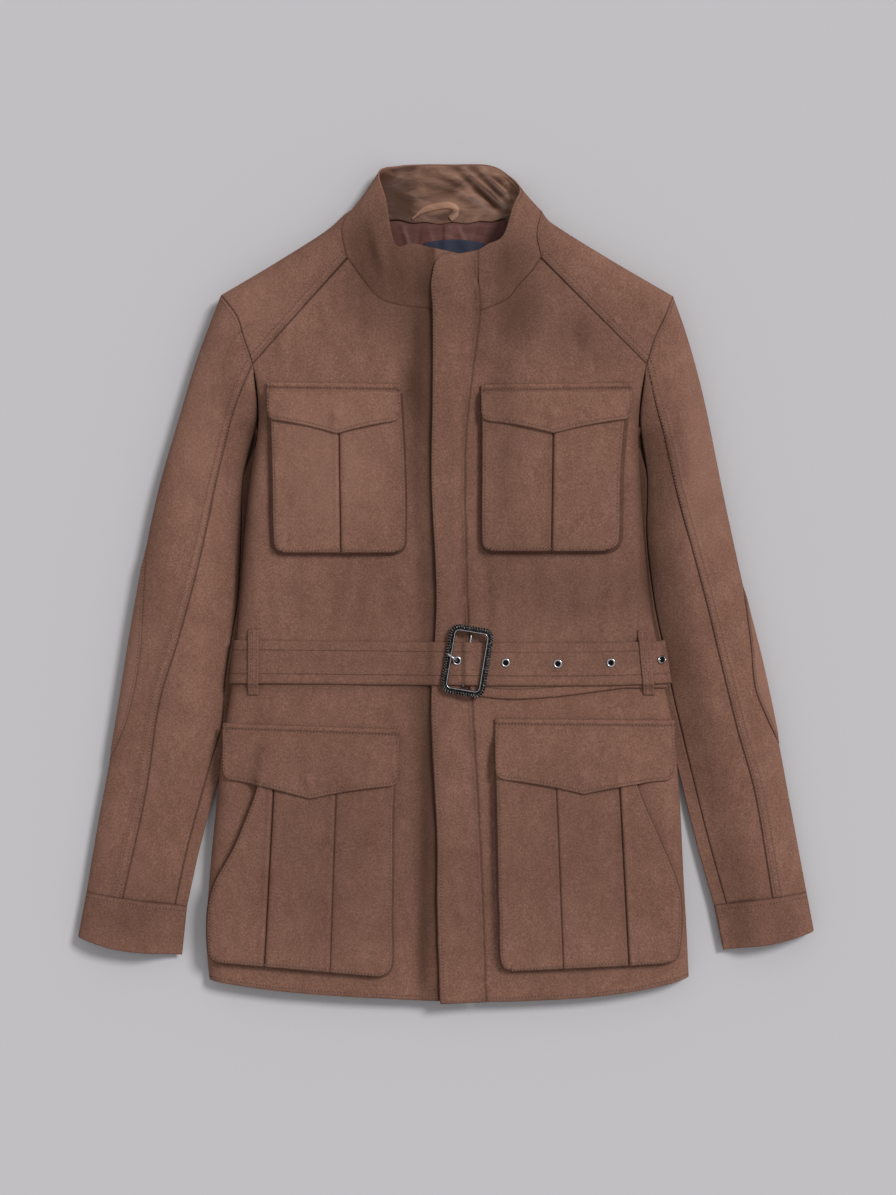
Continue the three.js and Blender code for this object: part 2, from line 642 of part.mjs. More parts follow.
// Where the under sleeve's flat part ends beside the outer fold's turn, and where it starts
const sleeveUnderEnd = (edge, share) => line(edge.sleeveOuter)(share)
  .addScaledVector(sleeveInward(edge, share), SLEEVE_TURN + 2).setZ(0);
const sleeveUnderStart = edge => line(edge.sleeveInner)(0)
  .add(new THREE.Vector3(edge.sign * SLEEVE_INNER_TURN * 0.2, 0, 0)).setZ(0);

// Grid of the outer sleeve panel, from the table under the outer fold up to the front seam
function outerSleeveGrid(edge, shares, across, underCount) {
  const { outer, seam, samples } = sleeveLines(edge);
  const surface = between(line(edge.armhole), straight(outer(1), seam(1)), outer, seam);
  return shares.map(v => {
    const fold = outer(v);
    const under = turned(fold, sleeveInward(edge, v), SLEEVE_TURN, 0, underCount);
    const top = across.map(u => {
      const point = surface(u, v);
      point.z = u === 0 ? fold.z : sleeveHeight(edge, samples, point.x, point.y, v);
      return point;
    });
    return [...under, ...top];
  });
}

const SLEEVE_SHARES = steps(15);

function sleeve(side, edge) {
  const { inner, outer, seam, innerSeam, samples } = sleeveLines(edge);
  const outerGrid = outerSleeveGrid(edge, SLEEVE_SHARES, [0, 0.06, 0.2, 0.4, 0.7, 1], 3);
  add(`sleeve_${side}_outer`, wall(
    standBack(outerGrid, { first: 0.9, last: SEAM_GAP, right: GAP }), CLOTH,
    { side: edge.sign }), SUEDE);
  const room = v => SEAM_GAP + 1.2 * (1 - smooth((v - 0.2) / 0.12));
  const front = between(straight(seam(0), innerSeam(0)), straight(seam(1), innerSeam(1)),
    seam, innerSeam);
  const innerGrid = SLEEVE_SHARES.map(v => steps(6).map(u => {
    const point = front(u, v);
    point.z = sleeveHeight(edge, samples, point.x, point.y, v);
    return point;
  }));
  add(`sleeve_${side}_inner`, wall(
    standBack(innerGrid, { first: 0.6, last: SEAM_GAP, left: 0.4, right: room }), CLOTH,
    { side: edge.sign }), SUEDE);
  const underGrid = SLEEVE_SHARES.map(v => {
    const fold = inner(v);
    const rim = innerSeam(v);
    const far = sleeveUnderEnd(edge, v);
    const towards = far.clone().sub(fold).setZ(0).normalize();
    const path = a => {
      if (a > 0) return turnedPoint(fold, towards, SLEEVE_INNER_TURN, 0, 1 - a);
      const point = fold.clone().lerp(rim, -a).setZ(0);
      point.z = a === 0 ? fold.z : sleeveHeight(edge, samples, point.x, point.y, v);
      return point;
    };
    const first = mix(0.15, -1, smooth((v - 0.06) / 0.16));
    const bend = [0, 0.16, 0.32, 0.5, 0.66, 0.83, 1].map(t => path(mix(first, 1, t)));
    const flat = [0.33, 0.66, 1].map(t => bend[6].clone().lerp(far, t));
    return [...bend, ...flat];
  });
  add(`sleeve_${side}_under`, wall(
    standBack(underGrid, { first: GAP, last: SEAM_GAP, left: room }), CLOTH * 0.85,
    { side: edge.sign }), SUEDE);
}

// Cuff: a flattened tube that carries on from the sleeve's end
function cuff(side, edge) {
  const hem = line(edge.cuffHem);
  const outer = line(edge.sleeveOuter)(1);
  const inner = line(edge.sleeveInner)(1);
  const across = [0, 0.06, 0.2, 0.4, 0.6, 0.8, 0.94, 1];
  const grid = [0.012, 0.5, 1].map(v => {
    const at = u => straight(outer, inner)(u).lerp(hem(u), v).setZ(0);
    const [a, b] = [at(0), at(1)];
    const width = a.distanceTo(b);
    const [za, zb] = [11, 9];
    const top = across.map(u => at(u).setZ(CUFF_LOFT
      - (CUFF_LOFT - za) * (1 - roll(u * width / SLEEVE_ROUND))
      - (CUFF_LOFT - zb) * (1 - smooth((1 - u) * width / 40))));
    const along = b.clone().sub(a).normalize();
    const underB = turned(top[7], along.clone().negate(), 11, 0, 3).reverse();
    const underA = turned(top[0], along, SLEEVE_TURN, 0, 3);
    const middle = at(0.5).setZ(0);
    return [...top, ...underB, middle, ...underA];
  });
  add(`cuff_${side}`, wall(grid, CLOTH, { side: edge.sign, ring: true }), SUEDE);
}

// Elbow patch: the outer sleeve's own points, moved out
function elbowPatch(side, edge) {
  const outer = line(edge.sleeveOuter);
  const [from, to] = edge.patchSpan.map(y => shareAtY(outer, y));
  const rows = steps(9);
  const grid = rows.map(t => {
    const reach = column(edge.patchEdge, 'along', 'across', t);
    const [row] = outerSleeveGrid(edge, [mix(from, to, t)], [0, 0.35, 0.7, 1].map(u => u * reach), 3);
    return row.slice(1);
  });
  const lift = 3 * GAP + TRIM;
  const moved = grid.map((row, i) => row.map((point, j) => {
    const du = row[Math.min(j + 1, row.length - 1)].clone().sub(row[Math.max(j - 1, 0)]);
    const dv = grid[Math.min(i + 1, 8)][j].clone().sub(grid[Math.max(i - 1, 0)][j]);
    return point.clone().addScaledVector(du.cross(dv).normalize(), edge.sign * lift);
  }));
  add(`elbow_patch_${side}`, wall(moved, TRIM, { side: edge.sign }), SUEDE_DARK);
}

// Collar and neck

const collarPoint = (s, t) => {
  const rows = COLLAR.map((row, i) => ({ ...row, i }));
  const at = name => column(rows, 'i', name, s);
  const bulge = 2 * Math.sin(Math.PI * t) * smooth((at('seamZ') - 5) / 20);
  return new THREE.Vector3(mix(at('seamX'), at('edgeX'), t), mix(at('seamY'), at('edgeY'), t),
    Math.max(0, mix(at('seamZ'), at('edgeZ'), t) + bulge));
};

const COLLAR_STATIONS = steps(37).map(s => s * (COLLAR.length - 1));

function collarBand() {
  const grid = [0.05, 0.3, 0.65, 1].map(t => COLLAR_STATIONS.map(s => collarPoint(s, t)));
  add('collar', wall(grid, CLOTH, { side: -1 }), SUEDE);
}

// The facing follows the band's inner side from one shoulder round the back to the other.
function collarFacing() {
  const inside = COLLAR_STATIONS.slice(10, 31);
  const sheet = [0.04, 0.35, 0.65, 0.97].map(t => inside.map(s => collarPoint(s, t)));
  const moved = sheet.map((row, i) => row.map((point, j) => {
    const du = row[Math.min(j + 1, row.length - 1)].clone().sub(row[Math.max(j - 1, 0)]);
    const dv = sheet[Math.min(i + 1, 3)][j].clone().sub(sheet[Math.max(i - 1, 0)][j]);
    return point.clone().addScaledVector(du.cross(dv).normalize(), CLOTH + 3 * GAP);
  }));
  add('collar_facing', wall(moved, SATIN, { side: -1 }), FACING);
}

// Neck: lining, label and hanger loop inside the collar

function flatSheet(box, across, along) {
  return steps(along).map(v => steps(across).map(u => new THREE.Vector3(
    mix(box.left, box.right, u), mix(box.bottom, box.top, v), 0)));
}

function neckLining() {
  add('lining', laid(flatSheet(LINING_BOX, 6, 4), SATIN), LINING);
  const { x, y, width, height } = LABEL_BOX;
  const box = { left: x - width / 2, right: x + width / 2, bottom: y - height / 2, top: y + height / 2 };
  add('label', laid(flatSheet(box, 5, 2), 0.8), LABEL);
}

function hangerLoop() {
  const path = line(HANGER);
  const grid = steps(11).map(s => {
    const ahead = path(Math.min(1, s + 0.02)).sub(path(Math.max(0, s - 0.02))).normalize();
    return [-2.5, 2.5].map(w => path(s).add(new THREE.Vector3(-ahead.y * w, ahead.x * w, 0)));
  });
  add('hanger_loop', laid(grid, TRIM), FACING);
}

// Placket: laid over the right front, level with the left front where it is sewn
function placket() {
  const seam = line([...EDGES.left.centre.map(({ x, y }) => ({ x: x - 0.8, y })),
    { x: 31.5, y: 297 }, { x: 31, y: 331 }]);
  const bottom = straight(new THREE.Vector3(-5, -417.5, 0), seam(0));
  const surface = between(bottom, line(PLACKET_TOP), line(PLACKET_EDGE), seam);
  const grid = steps(33).map(v => [0, 0.15, 0.45, 0.8, 1].map(u => {
    const point = surface(u, v);
    const onCollar = smooth((point.y - 262) / 12);
    const base = mix(bodyHeight(point.x, point.y), mix(38.5, 42.5, (point.y - 268) / 60), onCollar);
    const wave = 0.8 * Math.sin(point.y / 19) + 0.6 * Math.sin(point.y / 7.3);
    point.z = base + (1 - smooth(u)) * (PLACKET_THICK + 4 * GAP + 0.6 + wave * 0.5);
    return point;
  }));
  add('placket', laid(grid, PLACKET_THICK), SUEDE);
}

// Pockets

// Where a pocket panel's points lie across it at a height y, with four beside each pleat
function pocketStops(pocket, y) {
  const { rows } = pocket;
  const top = rows[rows.length - 1].y;
  const [from, to] = [column(rows, 'y', 'from', y), column(rows, 'y', 'to', y)];
  const down = (top - y) / (top - rows[0].y);
  const folds = pocket.pleats.map(({ top: a, bottom: b }) => mix(a, b, down));
  const stops = [from, from + 5];
  for (const fold of folds) {
    stops.push((stops[stops.length - 1] + fold - 4) / 2, fold - 4, fold - 0.8, fold + 0.8, fold + 4);
  }
  stops.push((stops[stops.length - 1] + to - 5) / 2, to - 5, to);
  return stops;
}

function pocketPanel(name, pocket) {
  const { rows, tilt, pleats } = pocket;
  const top = rows[rows.length - 1].y;
  const bottom = rows[0].y;
  const levels = [...rows.slice(0, 3).map(row => row.y),
    ...range(7).map(i => mix(rows[2].y, top, (i + 1) / 7))];
  const grid = levels.map(y => {
    const stops = pocketStops(pocket, y);
    const down = (top - y) / (top - bottom);
    return stops.map((x, j) => {
      const place = y + tilt * (x - (stops[0] + stops[stops.length - 1]) / 2) * down ** 3;
      const edge = Math.min(1, 0.8 + 0.2 * Math.min(j, stops.length - 1 - j));
      const inPleat = pleats.some((_, k) => j === 4 + 5 * k || j === 5 + 5 * k);
      const mouth = mix(0.7, 1, smooth((top - y) / 30));
      const foot = mix(0.8, 1, smooth((y - bottom) / 14));
      const rise = POCKET_RISE * edge * mouth * foot - (inPleat ? PLEAT_DEPTH : 0);
      return new THREE.Vector3(x, place, groundHeight(x, place) + TRIM + GAP + rise);
    });
  });
  return settle(grid, TRIM, 2 * GAP);
}

// Gusset: a strip from just under the panel's rim down to the front, on three sides
function gusset(grid) {
  const last = grid[0].length - 1;
  const sideRows = range(grid.length).filter(i => i > 0 && (i < 3 || i % 2 === 0 || i === grid.length - 1));
  const rim = [
    ...sideRows.slice().reverse().map(i => grid[i][0]),
    ...range(last + 1).filter(j => j % 2 === 0 || j === last).map(j => grid[0][j]),
    ...sideRows.map(i => grid[i][last]),
  ];
  const outs = rim.map((_, i) => {
    const ahead = rim[Math.min(i + 1, rim.length - 1)].clone().sub(rim[Math.max(i - 1, 0)]);
    return new THREE.Vector3(ahead.y, -ahead.x, 0).normalize();
  });
  const foot = settle(rim.map((point, i) => [1.6, -1.4].map(
    shift => point.clone().addScaledVector(outs[i], shift).setZ(0))), 0, 2 * GAP);
  const rows = rim.map((point, i) => {
    const low = foot[i][0].setZ(Math.max(foot[i][0].z, foot[i][1].z) + 0.1);
    point.z = Math.max(point.z, low.z + 0.8 + TRIM + 3 * GAP);
    const high = point.clone().addScaledVector(outs[i], -1).setZ(point.z - TRIM - 3 * GAP);
    return [low, high];
  });
  return wall(rows, 1, { side: -1 });
}

function flapGrid(flap) {
  const { top, from, to, tilt, side, tip, tipAt } = flap;
  const across = [0, 0.05, 0.2, 0.36, tipAt, 0.66, 0.82, 0.95, 1];
  const grid = [0, 0.12, 0.3, 0.62, 0.88, 1].map(v => across.map(u => {
    const point = u < tipAt ? u / tipAt : (1 - u) / (1 - tipAt);
    const corner = u === 0 || u === 1 ? 4 : 0;
    const depth = mix(side, tip, point ** 1.5) - corner;
    const x = mix(from, to, u) + (v > 0.9 ? (u === 0 ? 2 : u === 1 ? -2 : 0) : 0);
    const y = top + tilt * (x - from) - v * depth;
    const button = 1.6 * Math.exp(-(((x - mix(from, to, tipAt)) / 10) ** 2)
      - (((v * depth - tip + 18) / 9) ** 2));
    return new THREE.Vector3(x, y, groundHeight(x, y) + FLAP_THICK + GAP + button);
  }));
  // The flap is stiff: it stays level across small hollows.
  const eased = grid.map(row => row.map((point, j) => {
    const near = [row[Math.max(0, j - 1)].z, point.z, row[Math.min(row.length - 1, j + 1)].z];
    return Math.max(point.z, (near[0] + near[2]) / 2 - 0.6);
  }));
  grid.forEach((row, i) => row.forEach((point, j) => { point.z = eased[i][j]; }));
  return settle(grid, FLAP_THICK, 0.8);
}

function pocket(name, data) {
  const grid = pocketPanel(name, data);
  add(`${name}_gusset`, gusset(grid), SUEDE_DARK);
  add(`${name}_panel`, wall(grid, TRIM, { down: true }), SUEDE);
  add(`${name}_flap`, wall(flapGrid(data.flap), FLAP_THICK, { down: true }), SUEDE);
}

// Belt

const BELT_ACROSS = [-1, -0.35, 0.35, 1];

// Points of the front's face at a side, from the table round the fold and inwards, moved out
function beltTurn(edge, y, reach) {
  const side = line(edge.side);
  const fold = side(shareAtY(side, y));
  const inward = { x: -edge.sign, y: 0 };
  const face = [
    ...turned(fold, inward, SIDE_TURN, beltLift(y), 4),
    ...[0, 1, 5, 12, reach].map(d => new THREE.Vector3(fold.x - edge.sign * d, fold.y,
      d === 0 ? fold.z : bodyHeight(fold.x - edge.sign * d, fold.y))),
  ];
  const lift = BELT_THICK + 2 * GAP;
  return face.map((point, i) => {
    const ahead = face[Math.min(i + 1, face.length - 1)].clone().sub(face[Math.max(i - 1, 0)]);
    const out = new THREE.Vector3(ahead.z, 0, -ahead.x).multiplyScalar(edge.sign).normalize();
    const moved = point.clone().addScaledVector(i === 0 ? new THREE.Vector3(0, 0, -1) : out, lift);
    moved.z = Math.max(moved.z, 0);
    return moved;
  });
}

function beltRun(edge, centre, stations, reach) {
  const turn = BELT_ACROSS.map(w => beltTurn(edge, centre(0) + w * BELT_WIDTH / 2, reach));
  const rows = turn[0].map((_, i) => turn.map(points => points[i]));
  const top = stations.map(({ x, share, slant = 0 }) => BELT_ACROSS.map(w => {
    const place = new THREE.Vector3(x + slant * w, centre(share) + w * BELT_WIDTH / 2, 0);
    place.z = groundHeight(place.x, place.y) + BELT_THICK + GAP;
    return place;
  }));
  const raised = top.map((row, i) => row.map((point, j) => {
    const span = top.slice(Math.max(0, i - 1), i + 2).map(near => near[j].z);
    return point.clone().setZ(Math.max(point.z, span.reduce((a, b) => a + b) / span.length));
  }));
  const settled = settle([rows[rows.length - 1].map(p => p.clone()), ...raised], BELT_THICK * 1.25, GAP);
  return [...rows.slice(0, -1), ...settled];
}

function belt() {
  const { right, left } = EDGES;
  const underCentre = share => mix(BELT_Y - 3, BELT_Y - 13, share);
  const underStations = range(9).map(i => ({ x: mix(176, 25, i / 8), share: i / 8 }));
  const under = beltRun(left, underCentre, underStations, 24);
  add('belt_buckle_end', wall(under, BELT_THICK, { side: 1 }), SUEDE);
  const middle = buckleFrame();
  add('buckle_bar', middle.bar(), GUNMETAL);
  const tailCentre = () => BELT_Y + 0.5;
  const xs = [-168, -140, -110, -80, -50, -22, -2, 7, 14, 21, 25, 29, 36, 46, 60, 82, 105, 130, 155,
    178, 196, 210, TAIL_END];
  const tail = beltRun(right, tailCentre, xs.map(x => ({ x, share: 1, slant: x === TAIL_END ? -3 : 0 })),
    26);
  add('belt_tail', wall(tail, BELT_THICK, { side: -1 }), SUEDE);
  add('buckle_frame', middle.frame(), GUNMETAL);
  add('buckle_prong', middle.prong(), NICKEL);
  const ends = [right, left].map(edge => {
    const side = line(edge.side);
    return y => side(shareAtY(side, y)).x - edge.sign * (SIDE_TURN + 1.2);
  });
  const back = [-1, 0, 1].map(w => steps(7).map(u => {
    const y = BELT_Y + w * BELT_WIDTH / 2;
    return new THREE.Vector3(mix(ends[0](y), ends[1](y), u), y, BELT_THICK);
  }));
  add('belt_back', wall(back, BELT_THICK, { down: true }), SUEDE);
}

// Places on the leaning buckle: u to its right, v up
function onBuckle(u, v) {
  const [c, s] = [Math.cos(BUCKLE.lean), Math.sin(BUCKLE.lean)];
  return new THREE.Vector2(BUCKLE.x + u * c - v * s, BUCKLE.y + u * s + v * c);
}

function roundedRectangle(width, height, radius, target) {
  const [a, b] = [width / 2, height / 2];
  target.moveTo(-a + radius, -b);
  target.lineTo(a - radius, -b);
  target.absarc(a - radius, -b + radius, radius, -Math.PI / 2, 0);
  target.lineTo(a, b - radius);
  target.absarc(a - radius, b - radius, radius, 0, Math.PI / 2);
  target.lineTo(-a + radius, b);
  target.absarc(-a + radius, b - radius, radius, Math.PI / 2, Math.PI);
  target.lineTo(-a, -b + radius);
  target.absarc(-a + radius, -b + radius, radius, Math.PI, Math.PI * 1.5);
  return target;
}

function buckleFrame() {
  const { width, height, rim, thick, lean } = BUCKLE;
  const inner = [width - 2 * rim, height - 2 * rim];
  const place = geometry => geometry.rotateZ(lean).translate(BUCKLE.x, BUCKLE.y, 0);
  const highest = (us, vs) => {
    let top = 0;
    for (const u of us) for (const v of vs) {
      const at = onBuckle(u, v);
      top = Math.max(top, pileHeight(at.x, at.y));
    }
    return top;
  };
  let level = 0;
  return {
    bar() {
      const span = inner[1] - 2 * GAP;
      const z = highest([-2, 0, 2], steps(15).map(t => mix(-span / 2, span / 2, t))) + GAP + BAR_RADIUS;
      return place(new THREE.CylinderGeometry(BAR_RADIUS, BAR_RADIUS, span, 8)).translate(0, 0, z);
    },
    frame() {
      const shape = roundedRectangle(width - 1.6, height - 1.6, 8, new THREE.Shape());
      shape.holes.push(roundedRectangle(inner[0] + 1.6, inner[1] + 1.6, 4.5, new THREE.Path()));
      const body = new THREE.ExtrudeGeometry(shape, {
        depth: thick - 1.6, curveSegments: 5, bevelThickness: 0.8, bevelSize: 0.8, bevelSegments: 1,
      });
      const sides = steps(21).map(t => mix(-height / 2, height / 2, t));
      const widths = [0.1, 1, 2.5, 4, 5.5, rim - 0.1].map(d => width / 2 - d);
      level = highest([...widths, ...widths.map(u => -u)], sides) + GAP;
      return place(body).translate(0, 0, level + 0.8);
    },
    prong() {
      const [hole, rest] = [EYELETS[0], onBuckle(-width / 2 + 1.5, 4)];
      const low = pileHeight(hole.x, hole.y) + GAP + 1.2;
      const high = level + thick + GAP + 1.2;
      const path = new THREE.CatmullRomCurve3([
        new THREE.Vector3(hole.x, hole.y, low),
        new THREE.Vector3(mix(hole.x, rest.x, 0.3), mix(hole.y, rest.y, 0.3), high + 0.6),
        new THREE.Vector3(rest.x, rest.y, high),
      ]);
      const section = new THREE.Shape();
      section.absarc(0, 0, 1.1, 0, Math.PI * 2);
      return new THREE.ExtrudeGeometry(section, {
        steps: 8, extrudePath: path, curveSegments: 4, bevelEnabled: false,
      });
    },
  };
}

function eyelets() {
  EYELETS.forEach(({ x, y }, i) => {
    const slope = (dx, dy) => pileHeight(x + dx, y + dy) - pileHeight(x - dx, y - dy);
    const up = new THREE.Vector3(-slope(3, 0) / 6, -slope(0, 3) / 6, 1).normalize();
    const ring = new THREE.TorusGeometry(EYELET_RADIUS, EYELET_ROUND, 5, 12);
    ring.applyQuaternion(new THREE.Quaternion().setFromUnitVectors(new THREE.Vector3(0, 0, 1), up));
    const { position } = ring.attributes;
    let lift = 0;
    for (let k = 0; k < position.count; k += 1) {
      const [px, py] = [position.getX(k) + x, position.getY(k) + y];
      lift = Math.max(lift, pileHeight(px, py) + GAP - position.getZ(k));
    }
    add(`eyelet_${i + 1}`, ring.translate(x, y, lift), NICKEL);
  });
}

function beltLoop(side, edge) {
  const grid = steps(15).map(v => {
    const x = mix(edge.loop.bottom, edge.loop.top, v);
    const y = BELT_Y - LOOP_LENGTH / 2 + v * LOOP_LENGTH;
    return [-1, 0, 1].map(w => {
      const across = x + w * LOOP_WIDTH / 2;
      return new THREE.Vector3(across, y, pileHeight(across, y) + TRIM + GAP);
    });
  });
  add(`belt_loop_${side}`, laid(grid, TRIM), SUEDE);
}

backPanel();
neckLining();
collarFacing();
hangerLoop();
for (const [side, edge] of Object.entries(EDGES)) {
  frontPanel(`front_${side}`, edge);
  yoke(`yoke_${side}`, edge);
  sleeve(side, edge);
  cuff(side, edge);
  elbowPatch(side, edge);
}
collarBand();
placket();
for (const [side, edge] of Object.entries(EDGES)) {
  pocket(`chest_pocket_${side}`, edge.chest);
  pocket(`hip_pocket_${side}`, edge.hip);
}
belt();
eyelets();
for (const [side, edge] of Object.entries(EDGES)) beltLoop(side, edge);

export default jacket;
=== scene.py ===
"""A hunting jacket in brown faux suede, buttoned, belted and laid flat on its back.

Lengths in the tables and functions are millimetres, and the meshes are in metres. +X is the
viewer's right, which is the wearer's left, +Y runs up to the collar and +Z is up from the table.
A piece of cloth is a grid of points on its outer face, given a back face one thickness behind.
"""

import math

import bpy
import numpy as np
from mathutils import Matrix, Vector


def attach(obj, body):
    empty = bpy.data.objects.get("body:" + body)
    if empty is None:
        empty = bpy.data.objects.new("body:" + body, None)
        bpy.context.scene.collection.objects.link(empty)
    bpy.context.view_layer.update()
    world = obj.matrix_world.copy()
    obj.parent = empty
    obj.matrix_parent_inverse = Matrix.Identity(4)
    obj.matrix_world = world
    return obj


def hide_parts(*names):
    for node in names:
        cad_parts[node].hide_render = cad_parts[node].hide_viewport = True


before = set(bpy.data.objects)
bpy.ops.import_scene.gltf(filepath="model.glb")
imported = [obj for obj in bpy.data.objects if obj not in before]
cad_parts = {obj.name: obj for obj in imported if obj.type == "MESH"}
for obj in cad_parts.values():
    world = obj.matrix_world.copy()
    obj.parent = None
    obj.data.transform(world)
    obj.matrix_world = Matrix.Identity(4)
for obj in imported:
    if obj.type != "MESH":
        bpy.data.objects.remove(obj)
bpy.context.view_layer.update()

# Cloth
SUEDE_THICK = 1.8
TRIM_THICK = 1.4
PATCH_THICK = 1.0
SATIN_THICK = 1.0
LABEL_THICK = 0.8
FLAP_THICK = 2.2
PLACKET_THICK = 2.6
BELT_THICK = 2.6
GAP = 0.3
REACH = 1.5             # a piece clears what lies on the table this far round each of its points
SEAM_ROOM = 0.15        # each piece stands back this far from a sewn seam
FAR = 60.0              # distance given to cloth that is nowhere near a seam
STITCH = dict(every=3.2, length=2.2, radius=0.42)
DOUBLE = 2.8            # half the distance between two stitched rows
EDGE_ROW = 2.4          # distance of an edge's stitched row from the edge

# Light
KEY_FROM = (0.62, 0.5, 0.9)
KEY_POWER = 1.95
SKY_POWER = 0.5

# Camera: it looks straight down from CAMERA_AT, in metres, on VIEW_HEIGHT of the table
CAMERA_AT = (0.002, -0.015, 3.0)
VIEW_HEIGHT = 1.195
SENSOR = 36

# How the cloth turns under itself on the table
SIDE_TURN = 34
SIDE_STEPS = 11         # points from the table up to the front's side fold
SHOULDER_TURN = 14
SLEEVE_TURN = 13
SLEEVE_INNER_TURN = 11
INNER_SEAM = 12
SIDE_ROUND = 17
SLEEVE_ROUND = 30
SLEEVE_VALLEY = 52
SLEEVE_LOFT = 31
CUFF_LOFT = 24
ARMHOLE_BLEND = 95

# Belt and buckle
BELT_WIDTH = 41
BELT_Y = -79
BELT_LINE = [(-200, -78.5), (-100, -79.5), (0, -80.5), (100, -81), (163, -80.5), (221, -78.5)]
STRAP_LINE = [(25, -90), (60, -94), (100, -92.5), (140, -88), (176, -83)]
BELT_ROW = 8.6          # each stitched row of the belt lies this far from its edge
TAIL_END = 221
BUCKLE = dict(x=21, y=-77.5, width=44, height=69, rim=6.4, thick=4.2, lean=-0.165)
BAR_RADIUS = 1.2
EYELETS = [(11, -77.5), (59, -79.5), (110.5, -80.5), (163, -79.5), (214, -76.5)]
EYELET_RADIUS = 3.5
EYELET_ROUND = 0.95
LOOP_LENGTH = 64
LOOP_WIDTH = 10

# Pockets
POCKET_RISE = 8.5
PLEAT_DEPTH = 2.8
POCKET_POINTS = 36      # points across each part of a pocket's panel, between its pleats

# Height of the front along the body: y, top
LOFT = [(-420, 21), (-330, 26), (-207, 31), (-110, 31), (-50, 31), (40, 34), (130, 37), (216, 38),
        (300, 37), (375, 31)]

